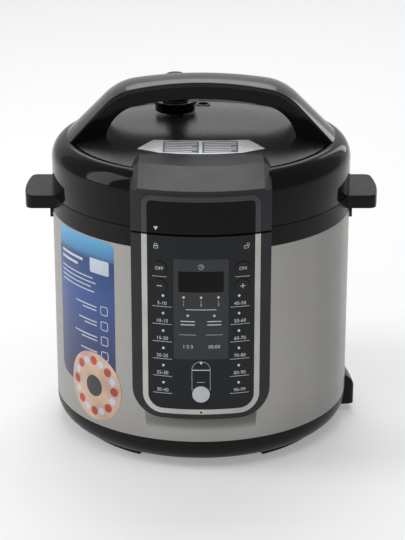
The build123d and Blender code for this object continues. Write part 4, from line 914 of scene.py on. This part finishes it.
class COOKER_OT_body_label(bpy.types.Operator):
    """Stick the blue label and the round sticker on the steel"""

    bl_idname = "cooker.body_label"
    bl_label = "Body label"

    def execute(self, context):
        left, right = -168.5, -84.0
        low, high = LABEL_LOW / MM, LABEL_HIGH / MM
        bm = bmesh.new()
        rounded_outline(bm, [
            (left, low + 4, 9), (left + 20, low, 9), (right, low, 9), (right, high, 7.9), (left, high, 7.9),
        ], 6)
        end_sticker(bm, "body_label", "label_blue", 0.0)

        # two heading bars, four lines, four ticked rows and a box
        bm = bmesh.new()
        print_bar(bm, left + 25, high - 24, 38, 2.6, 0.8)
        print_bar(bm, left + 21, high - 30, 30, 2.6, 0.8)
        for row, width in enumerate((52, 56, 49, 54)):
            print_bar(bm, left + 6 + width / 2, high - 39 - 4.4 * row, width, 1.1)
        for row, width in enumerate((30, 26, 33, 24)):
            z = high - 68 - 15 * row
            print_loop(bm, corners(right - 17, z - 4.5, right - 8, z + 4.5, 2), 0.8 * MM)
            print_bar(bm, right - 22 - width / 2, z + 1.6, width, 1.1)
            print_bar(bm, right - 22 - width / 3, z - 1.8, width * 2 / 3, 1.1)
        print_bar(bm, right - 18, high - 26, 24, 14, 1.5)
        end_sticker(bm, "label_print", "label_white", FILM)

        # the round sticker's discs: how far from its middle, which way, radius
        x, z = -111.5, low + 3.4
        for name, finish, lift, sides, discs in (
            ("round_sticker", "disc_peach", FILM * 1.2, 48, [(0, 0, 34)]),
            ("sticker_red", "disc_red", FILM * 2.2, 20, [(25.5, i * 45.0, 4.4) for i in range(8)]),
            ("sticker_pale", "label_white", FILM * 2.2, 20, [(25.5, i * 45.0 + 22.5, 3.6) for i in range(8)]),
            ("sticker_core", "disc_dark", FILM * 2.2, 48, [(0, 0, 10.5)]),
        ):
            bm = bmesh.new()
            for reach, degrees, radius in discs:
                turn = math.radians(degrees)
                print_disc(bm, x + reach * math.cos(turn), z + reach * math.sin(turn), radius, sides)
            end_sticker(bm, name, finish, lift)
        return {"FINISHED"}


# ------------------------------------------------------------------ studio
FLOOR_REACH = 4.0
BACKDROP_BEND = 1.5


def soft_light(name, place, target, size, power):
    """A large soft lamp that faces a point."""
    data = bpy.data.lights.new(name, "AREA")
    data.shape = "RECTANGLE"
    data.size, data.size_y = size
    data.energy = power
    lamp = bpy.data.objects.new(name, data)
    bpy.context.scene.collection.objects.link(lamp)
    lamp.location = place
    lamp.rotation_euler = (Vector(target) - Vector(place)).to_track_quat("-Z", "Y").to_euler()


class COOKER_OT_studio(bpy.types.Operator):
    """Set the camera, the soft lights, the floor and the backdrop"""

    bl_idname = "cooker.studio"
    bl_label = "Studio"

    def execute(self, context):
        scene = context.scene
        data = bpy.data.cameras.new("camera")
        data.lens = 127.95
        data.sensor_width = 36.0
        data.clip_end = 50.0
        camera = bpy.data.objects.new("camera", data)
        scene.collection.objects.link(camera)
        camera.location = (0.0013, -1.7555, 0.7910)
        camera.rotation_euler = (math.radians(69.854), 0.0, 0.0)
        scene.camera = camera

        world = bpy.data.worlds.new("studio")
        world.use_nodes = True
        sky = world.node_tree.nodes["Background"]
        sky.inputs["Color"].default_value = (1.0, 1.0, 1.0, 1.0)
        sky.inputs["Strength"].default_value = 0.3
        scene.world = world

        # a floor that bends up into a backdrop
        bm = bmesh.new()
        bmesh.ops.create_grid(bm, x_segments=1, y_segments=1, size=FLOOR_REACH)
        back = [e for e in bm.edges if all(v.co.y > FLOOR_REACH - 0.1 for v in e.verts)]
        made = bmesh.ops.extrude_edge_only(bm, edges=back)
        raised = [g for g in made["geom"] if isinstance(g, bmesh.types.BMVert)]
        bmesh.ops.translate(bm, verts=raised, vec=(0, 0, FLOOR_REACH))
        bend = [e for e in bm.edges if all(v.co.y > FLOOR_REACH - 0.1 and v.co.z < 0.1 for v in e.verts)]
        bmesh.ops.bevel(
            bm, geom=bend, offset=BACKDROP_BEND, offset_type="OFFSET", affect="EDGES",
            segments=12, profile=0.5, material=-1,
        )
        mesh = bpy.data.meshes.new("floor")
        bm.to_mesh(mesh)
        bm.free()
        mesh.shade_smooth()
        floor = bpy.data.objects.new("floor", mesh)
        scene.collection.objects.link(floor)
        mesh.materials.append(FINISHES["floor_paper"])

        soft_light("left_bank", (-2.0, -0.3, 1.1), (0, 0, 0.15), (0.9, 2.0), 22.0)
        soft_light("right_bank", (1.3, 2.0, 1.0), (0, 0, 0.15), (0.3, 1.6), 3.0)
        soft_light("top_bank", (0.0, 0.9, 2.2), (0, 0, 0.25), (1.2, 0.9), 16.0)
        soft_light("front_bank", (0.1, -0.8, 2.3), (0, 0, 0.25), (1.8, 0.9), 11.0)
        soft_light("back_bank", (0.0, 2.3, 1.9), (0, 0, 0.3), (1.6, 1.2), 9.0)
        scene.view_settings.view_transform = "Standard"
        return {"FINISHED"}


class COOKER_PT_parts(bpy.types.Panel):
    """Lists the cooker's parts in the sidebar"""

    bl_label = "Cooker"
    bl_idname = "COOKER_PT_parts"
    bl_space_type = "VIEW_3D"
    bl_region_type = "UI"
    bl_category = "Cooker"

    def draw(self, context):
        for group in (context.scene.cooker_sizes, context.scene.cooker_colours):
            for name in group.__annotations__:
                self.layout.prop(group, name)
        for operator in OPERATORS:
            self.layout.operator(operator.bl_idname)


OPERATORS = (
    COOKER_OT_finishes,
    COOKER_OT_steel_body,
    COOKER_OT_lid_shell,
    COOKER_OT_sensor_coil,
    COOKER_OT_steam_knob,
    COOKER_OT_panel_prints,
    COOKER_OT_key_signs,
    COOKER_OT_foil_label,
    COOKER_OT_body_label,
    COOKER_OT_studio,
)
CLASSES = (CookerSizes, CookerColours, *OPERATORS, COOKER_PT_parts)


def register():
    """Adds the classes and the scene's settings."""
    for cls in CLASSES:
        bpy.utils.register_class(cls)
    bpy.types.Scene.cooker_sizes = PointerProperty(type=CookerSizes)
    bpy.types.Scene.cooker_colours = PointerProperty(type=CookerColours)


def unregister():
    """Takes them away again."""
    del bpy.types.Scene.cooker_colours
    del bpy.types.Scene.cooker_sizes
    for cls in reversed(CLASSES):
        bpy.utils.unregister_class(cls)


def main():
    """Builds the whole cooker."""
    register()
    for operator in OPERATORS:
        section, name = operator.bl_idname.split(".")
        getattr(getattr(bpy.ops, section), name)()


if __name__ == "__main__":
    main()
